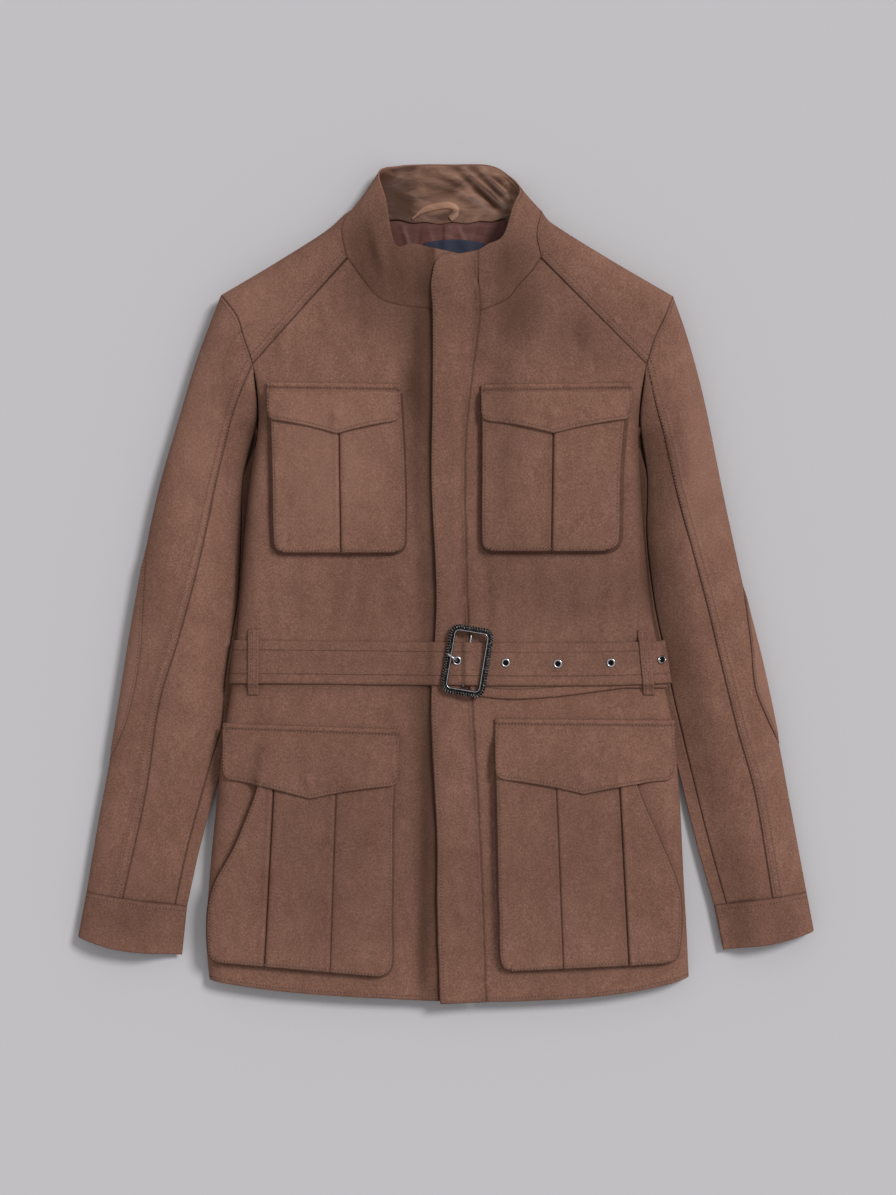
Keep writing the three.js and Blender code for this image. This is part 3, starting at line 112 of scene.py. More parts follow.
# Edge lines seen from above: x, y and, where the cloth folds under, the height of the fold.
# right is the wearer's right side, at the viewer's left.
EDGES = {
    "right": dict(
        sign=-1,
        side=[(-236, -395, 8), (-239, -355, 9), (-236, -300, 11), (-227, -207, 14),
              (-220, -147, 16), (-213, -102, 17), (-208, -57, 18), (-205, -17, 19),
              (-200, 48, 20), (-194, 104, 20), (-186, 158, 23), (-187, 190, 29),
              (-191, 216, 36)],
        shoulder=[(-93.5, 371, 16), (-101, 366, 15), (-115, 353, 15), (-166, 320, 15),
                  (-224, 285.5, 15)],
        sleeve_outer=[(-224, 285.5, 15), (-246, 227.5, 15), (-266, 162.5, 15),
                      (-286, 92.5, 15), (-299, 32, 14), (-312, -40, 14), (-331, -157, 13),
                      (-346, -237, 12), (-358, -307.5, 11)],
        sleeve_inner=[(-190, 206, 32), (-186.8, 170, 22), (-190, 129, 8), (-194, 84, 6),
                      (-194, 40, 6), (-197, -26, 6), (-203, -62, 5), (-209, -102, 5),
                      (-212, -147, 6), (-224, -187, 6.5), (-246, -267, 8),
                      (-258, -322.5, 9)],
        front_seam=[(-191, 216), (-206, 182), (-213, 162), (-228, 100), (-242, 32),
                    (-265, -55), (-284, -117), (-298, -208), (-321, -313)],
        armhole=[(-224, 285.5), (-207, 263), (-200, 242), (-191, 216)],
        yoke_seam=[(-191, 216), (-142, 271), (-97, 321)],
        collar_side=[(-98, 321.5), (-103, 352), (-93.5, 371)],
        collar_front=[(-97, 321), (-78, 294), (-66, 281), (-50, 275), (8, 268.5)],
        centre=[(9, -416), (9, -150), (9, 80), (8, 268.5)],
        hem=[(-236, -395), (-206, -400), (-146, -407.5), (-46, -413.5), (9, -416)],
        cuff_hem=[(-366.5, -352.5), (-326, -364.5), (-263, -370.5)],
        patch_edge=[(0, 0.02), (0.2, 0.13), (0.5, 0.3), (0.75, 0.26), (1, 0.02)],
        patch_span=(31, -177),
        chest=dict(
            rows=[(29.5, -160, -52), (32, -166, -45), (40, -169.5, -41), (110, -171, -41),
                  (186, -173, -45)],
            tilt=0, pleats=[(-106, -104)], foot=4.6, gusset_shade=0.35,
            flap=dict(top=197, start=-176.5, end=-45.5, tilt=-0.015, side=36, tip=49, tip_at=0.53)),
        hip=dict(
            rows=[(-383, -228, -66), (-380, -232.5, -59), (-371, -236, -54), (-330, -236, -54),
                  (-300, -229, -53.5), (-262, -209, -53.2), (-230, -196, -53),
                  (-205, -187, -52), (-162, -179, -51)],
            tilt=-0.087, pleats=[(-168, -180), (-107, -115)], foot=2, gusset_shade=0.15,
            flap=dict(top=-140, start=-221, end=-47, tilt=-0.035, side=54.5, tip=70, tip_at=0.5)),
        loop=(-191, -190.5)),
    "left": dict(
        sign=1,
        side=[(242, -392.5, 8), (240, -350, 9), (237, -300, 11), (232, -207, 14),
              (226, -147, 16), (217, -102, 17), (209, -57, 18), (204, -30, 19),
              (198, 29, 20), (194, 80, 20), (191, 150, 23), (193, 185, 29),
              (198, 215.5, 36)],
        shoulder=[(95, 370, 16), (101, 361, 15), (115, 351, 15), (166, 319.5, 15),
                  (226, 284.5, 15)],
        sleeve_outer=[(226, 284.5, 15), (239, 247.5, 15), (255, 189.5, 15), (277, 82.5, 15),
                      (299, -17.5, 14), (314, -77.5, 14), (329, -147.5, 13),
                      (344, -227.5, 12), (359, -307.5, 11)],
        sleeve_inner=[(197, 206, 32), (192.3, 170, 22), (191.5, 129, 8), (191.5, 84, 6),
                      (190, 40, 6), (197, -26, 6), (204, -62, 5), (212, -102, 5),
                      (222, -147, 6), (234, -197, 6.5), (249, -257, 8), (267, -321.5, 9)],
        front_seam=[(198, 215.5), (209, 172), (217, 145), (230, 84), (244, 32), (260, -28),
                    (272, -78), (290, -150), (306, -207), (324, -312.8)],
        armhole=[(226, 284.5), (216, 262), (207, 243), (198, 215.5)],
        yoke_seam=[(198, 215.5), (172, 241.5), (93, 321)],
        collar_side=[(94, 321.5), (89.5, 345), (95, 370)],
        collar_front=[(93, 321), (84, 308), (71, 293.5), (61, 281), (34, 268.5)],
        centre=[(40, -416), (37, -317), (32, -217), (26, -117), (21, 0), (20, 142),
                (26, 202), (34, 268.5)],
        hem=[(242, -392.5), (214, -400.5), (154, -410.5), (74, -415.5), (40, -416)],
        cuff_hem=[(366.5, -346.5), (329, -357.5), (276, -365.5)],
        patch_edge=[(0, 0.02), (0.3, 0.16), (0.58, 0.32), (0.8, 0.2), (1, 0.02)],
        patch_span=(-5, -160),
        chest=dict(
            rows=[(31, 45, 156), (34, 38.5, 165), (42, 36, 170), (110, 36, 171.5),
                  (186, 36, 178)],
            tilt=0, pleats=[(106, 104)], foot=4.6, gusset_shade=0.35,
            flap=dict(top=194.5, start=35, end=183, tilt=0.013, side=35, tip=48, tip_at=0.48)),
        hip=dict(
            rows=[(-381, 66, 217), (-378, 58, 226), (-366, 54, 231), (-330, 53, 233),
                  (-303, 52, 230), (-250, 51, 209), (-202, 50, 189), (-160, 49, 184)],
            tilt=0.048, pleats=[(107, 116), (169, 181)], foot=2, gusset_shade=0.15,
            flap=dict(top=-135.5, start=49, end=226, tilt=-0.01, side=58, tip=72,
                      tip_at=0.49)),
        loop=(201, 195)),
}

# Soft creases of the front: a trough from (x1, y1) to (x2, y2); a negative depth is a ridge.
# Columns: x1 y1 x2 y2 width depth
CREASES = [
    (-38, 262, -42, 150, 15, 4.5), (-74, 290, -92, 205, 20, -2.5), (38, 235, 44, 60, 12, 4),
    (-28, -120, -32, -405, 13, 3.5), (-10, -140, -14, -400, 10, -2), (-118, -40, -104, 22, 9, 2),
    (-58, -42, -66, 14, 8, 2), (92, -40, 82, 26, 9, 2), (150, -42, 158, 18, 9, 1.8),
    (-150, -42, -158, 12, 8, 1.5), (60, -118, 66, -200, 9, 1.8),
]

# Smaller creases that only show close up, in the same columns
FINE_CREASES = [
    (-34, 262, -34, 60, 9, 2.6), (-52, 235, -62, 120, 8, -1.3), (-30, 60, -22, -45, 6, 2.0),
    (-46, 20, -42, -50, 6, -1.2), (36, 70, 40, -45, 6, 1.8), (54, 20, 49, -48, 6, -1.1),
    (118, 10, 124, -46, 7, 1.2), (176, 20, 170, -46, 7, 1.4), (-84, 10, -88, -46, 7, 1.3),
    (-178, 14, -172, -48, 7, 1.4), (-36, -250, -28, -408, 6, 2.2), (-24, -128, -26, -400, 6, 1.8),
    (-48, -300, -30, -410, 5, 2.2), (46, -130, 42, -400, 6, 1.8), (-204, -110, -190, -165, 8, 1.4),
    (206, -112, 196, -165, 8, 1.4), (120, -385, 116, -412, 9, 1.1), (-120, -388, -124, -408, 9, 1.1),
    (200, -372, 204, -398, 8, 1.1), (-150, 215, -128, 186, 9, 1.3), (150, 228, 132, 190, 9, 1.4),
    (-130, 268, -112, 215, 12, 1.4), (120, 268, 104, 212, 12, 1.4), (60, 272, 48, 205, 9, 1.6),
    (-176, 176, -182, 120, 8, 1.6), (182, 176, 186, 120, 8, 1.6), (-100, 290, -86, 232, 9, 1.3),
    (64, 60, 50, 40, 6, 0.9), (140, 40, 110, 24, 8, 0.9), (-120, 44, -90, 26, 8, 0.9),
]

# Soft creases of the sleeves, in the same columns
SLEEVE_CREASES = [
    (-228, 60, -268, 96, 12, 2.5), (-216, -60, -262, -30, 13, 2.5),
    (-238, -150, -292, -128, 12, 2.2), (216, 40, 262, 78, 12, 2.5),
    (222, -70, 268, -46, 13, 2.5), (246, -170, 300, -140, 12, 2.2),
]
SLEEVE_FINE = [
    (-212, 130, -248, 148, 8, 1.2), (-214, 10, -240, 30, 7, 1.0), (-222, -104, -262, -88, 8, 1.1),
    (-250, -210, -290, -196, 8, 1.0), (-268, -262, -312, -246, 8, 1.0),
    (208, 128, 246, 150, 8, 1.2), (206, 0, 240, 18, 7, 1.0), (234, -120, 276, -104, 8, 1.1),
    (258, -216, 298, -200, 8, 1.0), (276, -268, 322, -252, 8, 1.0),
]

# Soft spots painted darker: partly the nap lying darker, partly painted shade in folds and round the neck.
# A negative amount paints a spot lighter, partly for the nap and partly as painted light.
# Columns: x y, half width and height of the spot, amount
NAP_AND_SHADE_SPOTS = [
    (-60, 300, 55, 60, 0.62), (70, 300, 50, 60, 0.5), (-30, 200, 22, 110, 0.4),
    (10, 60, 60, 160, 0.2), (-20, -230, 26, 190, 0.35), (130, -10, 100, 50, 0.45),
    (-110, -20, 90, 40, 0.2), (120, -260, 90, 120, 0.28), (-120, -260, 90, 120, 0.4),
    (-37, 195, 8, 26, 0.35), (-44, 120, 6, 50, 0.2), (-166, 228, 6, 18, 0.3), (134, 242, 8, 20, 0.3),
    (69, 262, 20, 22, 0.25), (34, 237, 8, 40, 0.2), (-80, 345, 22, 35, 0.35), (64, 325, 22, 30, 0.2),
    (-285, -60, 22, 200, 0.22),
    (-200, 40, 16, 120, 0.3), (200, 40, 16, 120, 0.3), (-315, -330, 60, 40, 0.5), (320, -330, 60, 40, 0.3),
    (-250, 120, 30, 130, -0.15), (255, 120, 30, 130, -0.28), (-190, 280, 60, 40, -0.12),
    (190, 280, 60, 40, -0.12), (20, -300, 26, 60, 0.2), (-110, 110, 60, 70, -0.3),
    (60, 180, 16, 90, 0.2), (-85, 20, 30, 60, 0.1), (62, 100, 12, 120, 0.15), (140, 250, 70, 40, 0.3),
]

# Collar band, from the wearer's right front round the back to the left front.
# Columns: seam x, y, z, free edge x, y, z
COLLAR = [
    (8, 269, 38, 12, 324, 41), (-22, 270.5, 38.5, -14, 329.5, 43), (-50, 275.5, 39, -34, 333.5, 44),
    (-78, 294.5, 38, -47.5, 330.5, 44.5), (-96.6, 321.5, 34, -54, 343, 43),
    (-100, 352, 25, -60, 378, 36), (-89.5, 371.5, 13, -67, 408, 20), (-66, 366, 1.5, -48, 415.5, 3),
    (-30, 361.5, 0, -24, 417.2, 0), (10, 361, 0, 6, 417.2, 0), (45, 363, 0, 42, 416.5, 0.4),
    (74, 369, 2, 62, 407, 4), (94, 370, 13, 74, 391, 21), (88, 345, 27, 67, 372, 36),
    (92.6, 321.5, 34, 57, 342, 42), (72, 294.5, 38, 43, 333.5, 43.5), (61, 281.5, 38.5, 36, 329.5, 43),
    (34, 269.5, 38, 31.5, 327, 42),
]

# Creases of the collar, of its satin facing and of the placket: x1 y1 x2 y2 width depth
COLLAR_CREASES = [
    (-77, 345, -67, 305, 5, 1.8), (-70, 348, -60, 308, 6, -1.0), (60, 330, 52, 300, 8, 1.2),
    (-52, 330, -46, 292, 8, 1.0), (-28, 322, -26, 285, 8, 0.8),
]
FACING_CREASES = [
    (14, 412, 58, 372, 3.2, 2.6), (30, 413, 60, 384, 2.6, 2.2), (4, 402, 34, 392, 4, 1.6),
    (22, 396, 50, 370, 3, -1.4), (-30, 398, 10, 392, 5, 1.2), (-44, 408, -20, 396, 5, -0.9),
    (40, 410, 62, 396, 2.6, 1.8), (8, 390, 30, 376, 4, 1.2), (-50, 392, -28, 380, 5, 1.0),
    (-8, 408, 12, 398, 4, 1.2), (48, 404, 64, 388, 2.2, -1.4),
]
LINING_CREASES = [
    (-44, 356, -36, 330, 2.6, 1.3), (-26, 352, -30, 326, 2.4, -0.8), (12, 354, 22, 330, 2.6, 1.2),
    (30, 350, 24, 328, 2.4, -0.8), (-16, 348, -10, 330, 2.2, 0.9), (40, 352, 34, 334, 2.6, 1.0),
]
PLACKET_CREASES = [
    (-4, -246, 30, -222, 8, 3.2), (-6, -292, 30, -268, 7, 3.4), (-6, -268, 26, -246, 7, -1.8),
    (-4, -330, 24, -352, 9, 2.4), (12, -50, 24, -14, 7, 3.4), (-2, 20, 6, -46, 7, -1.6),
    (2, 120, 16, 96, 9, 1.4), (-2, -128, 26, -160, 8, 1.8), (4, 60, 18, 40, 9, 1.3),
    (-4, 190, 14, 170, 9, 1.3), (0, -190, 24, -205, 9, 1.4), (0, -385, 24, -370, 9, 1.4),
]
PLACKET_BUTTONS = [267, 226, 118, 10, -150, -262]
BELT_CREASES = [
    (-170, -78, -120, -76, 2.5, 0.7), (-140, -84, -80, -82, 2.5, 0.6), (-100, -77, -40, -80, 2.5, 0.6),
    (-60, -86, -20, -84, 2, 0.6), (-30, -75, 4, -77, 2.5, 0.7), (66, -80, 100, -83, 2.5, 0.7),
    (120, -80, 156, -82, 2.5, 0.7), (170, -79, 206, -81, 2.5, 0.7), (34, -76, 52, -84, 3, 0.7),
]

# Fly placket: its free edge from the hem to the collar, and its rounded top
PLACKET_EDGE = [(-5, -417.5), (-8, -317), (-8, -255), (-13, -157), (-14, -117), (-9, -17),
                (-14, 102), (-13, 182), (-13, 272), (-14.5, 294), (-12, 310.5)]
PLACKET_TOP = [(-12, 310.5), (-9, 318), (-2, 322), (13, 323.3), (31, 326.5)]

HANGER = [(-34, 363), (-22, 371.5), (-6, 376), (4, 376.3), (9.5, 373), (9, 367), (4, 363)]
HANGER_HALF = 3.2
LABEL_BOX = dict(x=8, y=331, width=60, height=22)
LINING_BOX = dict(left=-60, right=60, bottom=296, top=361)


# Small maths

def mix(a, b, share):
    """a + (b - a) share."""
    return a + (b - a) * share


def smooth(t):
    """3t^2 - 2t^3 between 0 and 1."""
    t = np.clip(t, 0, 1)
    return t * t * (3 - 2 * t)


def roll(t):
    """Quarter circle: sqrt(1 - (1 - t)^2)."""
    return np.sqrt(1 - (1 - np.clip(t, 0, 1)) ** 2)


def bell(distance, width):
    """exp(-(distance / width)^2)."""
    return np.exp(-(distance / width) ** 2)


def unit(vectors):
    """Vectors of length 1, and zero where there is nothing to scale."""
    return vectors / np.maximum(np.linalg.norm(vectors, axis=-1, keepdims=True), 1e-9)


def column(rows, index, place):
    """Smooth curve through one column of a table along its first: cubic pieces between rows, whose
    slope at a row is that of the chord from the row before to the row after."""
    rows = np.array(rows, float)
    at, value = rows[:, 0], rows[:, index]
    before = np.maximum(np.arange(len(at)) - 1, 0)
    after = np.minimum(np.arange(len(at)) + 1, len(at) - 1)
    slope = (value[after] - value[before]) / (at[after] - at[before])
    i = np.clip(np.searchsorted(at, place, side="right") - 1, 0, len(at) - 2)
    span = at[i + 1] - at[i]
    t = np.clip((place - at[i]) / span, 0, 1)
    return (mix(value[i], value[i + 1], smooth(t)) + slope[i] * span * t * (1 - t) ** 2
            + slope[i + 1] * span * t * t * (t - 1))


def line(rows):
    """Centripetal Catmull-Rom curve through points, as a function of the share of its length."""
    p = np.array([(*row, 0)[:3] for row in rows], float)
    p = np.vstack([2 * p[0] - p[1], p, 2 * p[-1] - p[-2]])
    d = np.sqrt(np.linalg.norm(np.diff(p, axis=0), axis=1))[:, None]
    a, b, c, e = p[:-3], p[1:-2], p[2:-1], p[3:]
    d0, d1, d2 = d[:-2], d[1:-1], d[2:]
    m1 = d1 * ((b - a) / d0 - (c - a) / (d0 + d1) + (c - b) / d1)
    m2 = d1 * ((c - b) / d1 - (e - b) / (d1 + d2) + (e - c) / d2)
    t = np.linspace(0, 1, 40)[None, :, None]
    b, c, m1, m2 = (q[:, None] for q in (b, c, m1, m2))
    curve = (b + m1 * t + (3 * (c - b) - 2 * m1 - m2) * t ** 2 + (2 * (b - c) + m1 + m2) * t ** 3)
    dense = curve.reshape(-1, 3)
    run = np.concatenate([[0], np.cumsum(np.linalg.norm(np.diff(dense, axis=0), axis=1))])
    keep = np.concatenate([[True], np.diff(run) > 1e-9])
    dense, run = dense[keep], run[keep]

    def at(share):
        place = np.clip(share, 0, 1) * run[-1]
        return np.stack([np.interp(place, run, dense[:, k]) for k in range(3)], -1)
    return at


def joined(first, second, share):
    """Two curves end to end, the first over the given share."""
    def at(s):
        s = np.asarray(s, float)[..., None]
        return np.where(s < share, first(s[..., 0] / share), second((s[..., 0] - share) / (1 - share)))
    return at


def reverse(at):
    """The same curve from its far end."""
    return lambda s: at(1 - np.asarray(s, float))


def straight(a, b):
    """Straight line a + (b - a) s."""
    return lambda s: mix(a, b, np.asarray(s, float)[..., None])


def share_at_y(at, y):
    """Share at which a curve that only rises or falls comes to the height y."""
    s = np.linspace(0, 1, 1500)
    ys = at(s)[:, 1]
    order = np.argsort(ys)
    return np.interp(y, ys[order], s[order])


def between(bottom, top, left, right, across, along):
    """Sheet between four curves: the two straight blends less the blend of the four corners."""
    u, v = across[None, :, None], along[:, None, None]
    corner = mix(mix(bottom(0.0), bottom(1.0), u), mix(top(0.0), top(1.0), u), v)
    return mix(bottom(across)[None], top(across)[None], v) \
        + mix(left(along)[:, None], right(along)[:, None], u) - corner


def to_line(points, x, y):
    """Signed distance from places (x, y) to a chain of points, the share of the chain at the
    nearest place, and the chain's height there. It is positive on the chain's left."""
    a, b = points[:-1], points[1:]
    d = (b - a)[:, :2]
    flat = np.stack([np.ravel(x), np.ravel(y)], -1)
    best = np.full(len(flat), np.inf)
    signed, height, share = np.zeros(len(flat)), np.zeros(len(flat)), np.zeros(len(flat))
    for i in range(len(a)):
        t = np.clip(((flat - a[i, :2]) @ d[i]) / (d[i] @ d[i]), 0, 1)
        away = flat - a[i, :2] - t[:, None] * d[i]
        distance = np.hypot(away[:, 0], away[:, 1])
        near = distance < best
        best = np.where(near, distance, best)
        sign = np.sign(d[i, 0] * away[:, 1] - d[i, 1] * away[:, 0])
        signed = np.where(near, distance * np.where(sign == 0, 1, sign), signed)
        height = np.where(near, mix(a[i, 2], b[i, 2], t), height)
        share = np.where(near, (i + t) / len(a), share)
    return tuple(q.reshape(np.shape(x)) for q in (signed, height, share))


def creases(rows, x, y):
    """Sum of troughs: depth times a bell across each, fading out over 50 mm at both ends."""
    depth = np.zeros(np.shape(x))
    for x1, y1, x2, y2, width, deep in rows:
        length = math.hypot(x2 - x1, y2 - y1)
        ux, uy = (x2 - x1) / length, (y2 - y1) / length
        along = (x - x1) * ux + (y - y1) * uy
        across = (x - x1) * uy - (y - y1) * ux
        fade = smooth((along + 22) / 50) * smooth((length + 22 - along) / 50)
        depth += deep * fade * bell(across, width)
    return depth


BODY_EDGES = [line(edge[name])(np.linspace(0, 1, 36))
              for edge in EDGES.values() for name in ("side", "shoulder", "sleeve_outer")]


def body_height(x, y):
    """Height of the front's outer face: a quarter-round roll up from the nearest edge, a slow
    crown to the loft beyond it, less the creases, which fade out at the edge."""
    distance, edge_z = np.full(np.shape(x), np.inf), np.zeros(np.shape(x))
    for chain in BODY_EDGES:
        signed, z, _ = to_line(chain, x, y)
        near = np.abs(signed) < distance
        distance, edge_z = np.where(near, np.abs(signed), distance), np.where(near, z, edge_z)
    share = 0.78 * roll(distance / SIDE_ROUND) + 0.22 * (1 - np.exp(-distance / 45))
    folds = sum(creases(rows, x, y) for rows in (CREASES, FINE_CREASES, PLACKET_CREASES))
    cut = smooth(distance / 30) * folds
    return mix(edge_z, column(LOFT, 1, y), share) - cut


def belt_lift(y):
    """Rise of the back over the belt that passes under it."""
    return (BELT_THICK + GAP) * (1 - smooth((np.abs(y - BELT_Y) - BELT_WIDTH / 2 - 2) / 16))


def turned(edge, inward, width, floor, shares):
    """Cloth turned under itself, from the table up to its fold: over the shares the distance
    from the fold shrinks as width (1 - share)^1.4, and the height climbs by a blend of a round
    and an easy slope. Shapes: edge and inward (rows, 3), result (rows, shares, 3)."""
    distance = width * (1 - shares) ** 1.4
    t = 1 - distance / width
    rise = 0.5 * (1 - np.sqrt(1 - t * t)) + 0.5 * smooth(t)
    points = edge[:, None] + inward[:, None] * distance[None, :, None]
    points[..., 2] = np.maximum(edge[:, None, 2] * rise, np.reshape(floor, (-1, 1)) * (1 - t))
    return points


def side_turn(edge, folds, floor):
    """The front's cloth turned under itself along its side."""
    inward = np.array([[-edge["sign"], 0.0, 0.0]])
    return turned(folds, inward, SIDE_TURN, floor, np.arange(SIDE_STEPS) / SIDE_STEPS)


# Heights of what already lies on the table

class Pile:
    """Heights on a grid of 1 mm cells. A piece is added by its outer face, and a piece that is
    laid on it asks how high it is at a place, or within a short reach of it."""

    def __init__(self, left, bottom, width, length):
        self.corner = np.array([left, bottom], float)
        self.top = np.zeros((length, width))

    def add(self, grid):
        fine = grid
        for axis in (0, 1):
            longest = np.linalg.norm(np.diff(grid[..., :2], axis=axis), axis=-1).max()
            fine = refine(fine, max(1, math.ceil(longest / 0.6)), axis)
        i = np.rint(fine[..., 1] - self.corner[1]).astype(int)
        j = np.rint(fine[..., 0] - self.corner[0]).astype(int)
        np.maximum.at(self.top, (i.ravel(), j.ravel()), fine[..., 2].ravel())

    def height(self, x, y, reach=0):
        found = np.zeros(np.shape(x))
        for dx in {-reach, 0, reach}:
            for dy in {-reach, 0, reach}:
                found = np.maximum(found, self.sample(x + dx, y + dy))
        return found

    def sample(self, x, y):
        fx = np.clip(x - self.corner[0], 0, self.top.shape[1] - 2)
        fy = np.clip(y - self.corner[1], 0, self.top.shape[0] - 2)
        j, i = fx.astype(int), fy.astype(int)
        u, v = fx - j, fy - i
        t = self.top
        return mix(mix(t[i, j], t[i, j + 1], u), mix(t[i + 1, j], t[i + 1, j + 1], u), v)


def refine(grid, factor, axis):
    """The grid with straight steps put in between its rows or columns."""
    n = grid.shape[axis]
    place = np.linspace(0, n - 1, (n - 1) * factor + 1)
    i = np.minimum(place.astype(int), n - 2)
    t = (place - i).reshape((-1, 1, 1) if axis == 0 else (1, -1, 1))
    return mix(np.take(grid, i, axis), np.take(grid, i + 1, axis), t)


PILE = Pile(-385, -435, 770, 870)


def eased(z, passes):
    """Each pass takes a quarter of each point's height from its neighbours in the grid."""
    for _ in range(passes):
        pad = np.pad(z, 1, mode="edge")
        z = 0.5 * z + 0.125 * (pad[:-2, 1:-1] + pad[2:, 1:-1] + pad[1:-1, :-2] + pad[1:-1, 2:])
    return z


def lay(grid, thickness, clearance=GAP, stiff=4, reach=1.2):
    """Raises a sheet until its underside clears the pile, easing it between the high places."""
    least = PILE.height(grid[..., 0], grid[..., 1], reach) + clearance + thickness
    z = np.maximum(grid[..., 2], least)
    for _ in range(stiff):
        z = np.maximum(eased(z, 3), least)
    out = grid.copy()
    out[..., 2] = z
    return out


# Meshes

def normals(grid, side, ring):
    """Unit normal at each point: the cross product of the step across and the step along."""
    if ring:
        across = np.roll(grid, -1, 1) - np.roll(grid, 1, 1)
    else:
        across = np.gradient(grid, axis=1)
    return side * unit(np.cross(across, np.gradient(grid, axis=0)))


def ring_quads(rows, columns, closed=False):
    """Quads between rows of points that each close on themselves; closed joins the last row to
    the first as well."""
    cells = np.arange(rows * columns).reshape(rows, columns)
    if closed:
        cells = np.concatenate([cells, cells[:1]])
    around = np.roll(cells, -1, 1)
    return np.stack([cells[:-1], around[:-1], around[1:], cells[1:]], -1).reshape(-1, 4)


def rim_of(rows, columns):
    """Places round the edge of a grid, and for each the place one step inwards."""
    i = np.concatenate([np.zeros(columns - 1), np.arange(rows - 1),
                        np.full(columns - 1, rows - 1), np.arange(rows - 1, 0, -1)]).astype(int)
    j = np.concatenate([np.arange(columns - 1), np.full(rows - 1, columns - 1),
                        np.arange(columns - 1, 0, -1), np.zeros(rows - 1)]).astype(int)
    return i, j, np.clip(i, 1, rows - 2), np.clip(j, 1, columns - 2)


def build(name, points, faces, material, fields=None):
    """Mesh object from points in millimetres and quads or triangles, faces turned outwards."""
    faces = np.asarray(faces)
    p = np.asarray(points, float) / 1000
    a, b, c = p[faces[:, 0]], p[faces[:, 1]], p[faces[:, 2]]
    volume = np.sum(a * np.cross(b, c))
    if faces.shape[1] == 4:
        volume += np.sum(a * np.cross(c, p[faces[:, 3]]))
    if volume < 0:
        faces = faces[:, ::-1]
    mesh = bpy.data.meshes.new(name)
    size = faces.shape[1]
    mesh.vertices.add(len(p))
    mesh.vertices.foreach_set("co", p.astype(np.float32).ravel())
    mesh.loops.add(faces.size)
    mesh.loops.foreach_set("vertex_index", faces.astype(np.int32).ravel())
    mesh.polygons.add(len(faces))
    mesh.polygons.foreach_set("loop_start", np.arange(0, faces.size, size, dtype=np.int32))
    mesh.polygons.foreach_set("loop_total", np.full(len(faces), size, np.int32))
    mesh.polygons.foreach_set("use_smooth", np.ones(len(faces), bool))
    for key, values in (fields or {}).items():
        mesh.attributes.new(key, "FLOAT", "POINT").data.foreach_set(
            "value", np.asarray(values, np.float32).ravel())
    mesh.update(calc_edges=True)
    mesh.validate()
    mesh.materials.append(material)
    piece = bpy.data.objects.new(name, mesh)
    bpy.context.scene.collection.objects.link(piece)
    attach(piece, "root")
    return piece


def wall_points(grid, thickness, side=1, down=False, ring=False):
    """Points and quads of a closed wall: the outer grid, an inner grid one thickness behind it,
    and a rounded rim whose middle stands proud by under half a thickness."""
    rows, columns = grid.shape[:2]
    away = np.array([0, 0, 1.0]) if down else normals(grid, side, ring)
    inner = grid - thickness * away
    count = rows * columns
    cells = np.arange(count).reshape(rows, columns)
    if ring:
        cells = np.concatenate([cells, cells[:, :1]], 1)
    quads = np.stack([cells[:-1, :-1], cells[:-1, 1:], cells[1:, 1:], cells[1:, :-1]], -1).reshape(-1, 4)
    points = [grid.reshape(-1, 3), inner.reshape(-1, 3)]
    faces = [quads, quads[:, ::-1] + count]
    loops = []
    if ring:
        j = np.arange(columns)
        loops.append((np.zeros(columns, int), j, np.ones(columns, int), j, 1))
        loops.append((np.full(columns, rows - 1), j, np.full(columns, rows - 2), j, -1))
    else:
        loops.append((*rim_of(rows, columns), 1))
    start = 2 * count
    for i, j, k, l, way in loops:
        out = unit(grid[i, j] - grid[k, l])
        middle = (grid[i, j] + inner[i, j]) / 2 + out * 0.42 * thickness
        points.append(middle)
        m = start + np.arange(len(i))
        start += len(i)
        edge = i * columns + j
        for low, high in ((edge, m), (m, edge + count)):
            strip = np.stack([low, high, np.roll(high, -1), np.roll(low, -1)], -1)
            faces.append(strip if way > 0 else strip[:, ::-1])
    return np.vstack(points), np.vstack(faces)


def spread(values, grid, ring=False):
    """A value for each outer point, given to the inner points and the rim as well."""
    rows, columns = grid.shape[:2]
    flat = np.ravel(values)
    if ring:
        rim = [flat[:columns], flat[-columns:]]
    else:
        i, j, _, _ = rim_of(rows, columns)
        rim = [flat[i * columns + j]]
    return np.concatenate([flat, flat, *rim])


def rows_of_stitches(grid, chains):
    """Fields for the cloth's shader: the signed distance to the nearest sewn seam, and how far
    from it its stitched rows lie on either side. chains holds (points, row distance)."""
    x, y = grid[..., 0], grid[..., 1]
    seam, gap = np.full(x.shape, FAR), np.zeros(x.shape)
    for points, row in chains:
        signed, _, _ = to_line(points, x, y)
        near = np.abs(signed) < np.abs(seam)
        seam, gap = np.where(near, signed, seam), np.where(near, row, gap)
    return seam, gap


def steps(count):
    """Shares from 0 to 1, evenly spaced."""
    return np.linspace(0, 1, count)


def offset(points, away):
    """The line moved sideways, to its left."""
    ahead = np.gradient(points, axis=0)
    ahead /= np.maximum(np.linalg.norm(ahead[:, :2], axis=1, keepdims=True), 1e-9)
    out = points.copy()
    out[:, 0] -= away * ahead[:, 1]
    out[:, 1] += away * ahead[:, 0]
    return out


STITCHES = []


def sew(points):
    """Keeps the places of a row of stitches along a line, on what is on the pile by now."""
    run = np.concatenate([[0], np.cumsum(np.hypot(*np.diff(points[:, :2], axis=0).T))])
    count = int(run[-1] / STITCH["every"])
    middle = (np.arange(count) + 0.5) * run[-1] / max(count, 1)
    ends = []
    for shift in (-STITCH["length"] / 2, STITCH["length"] / 2):
        x, y = (np.interp(middle + shift, run, points[:, k]) for k in (0, 1))
        ends.append(np.stack([x, y, PILE.height(x, y)], -1))
    STITCHES.append(np.stack(ends, 1))


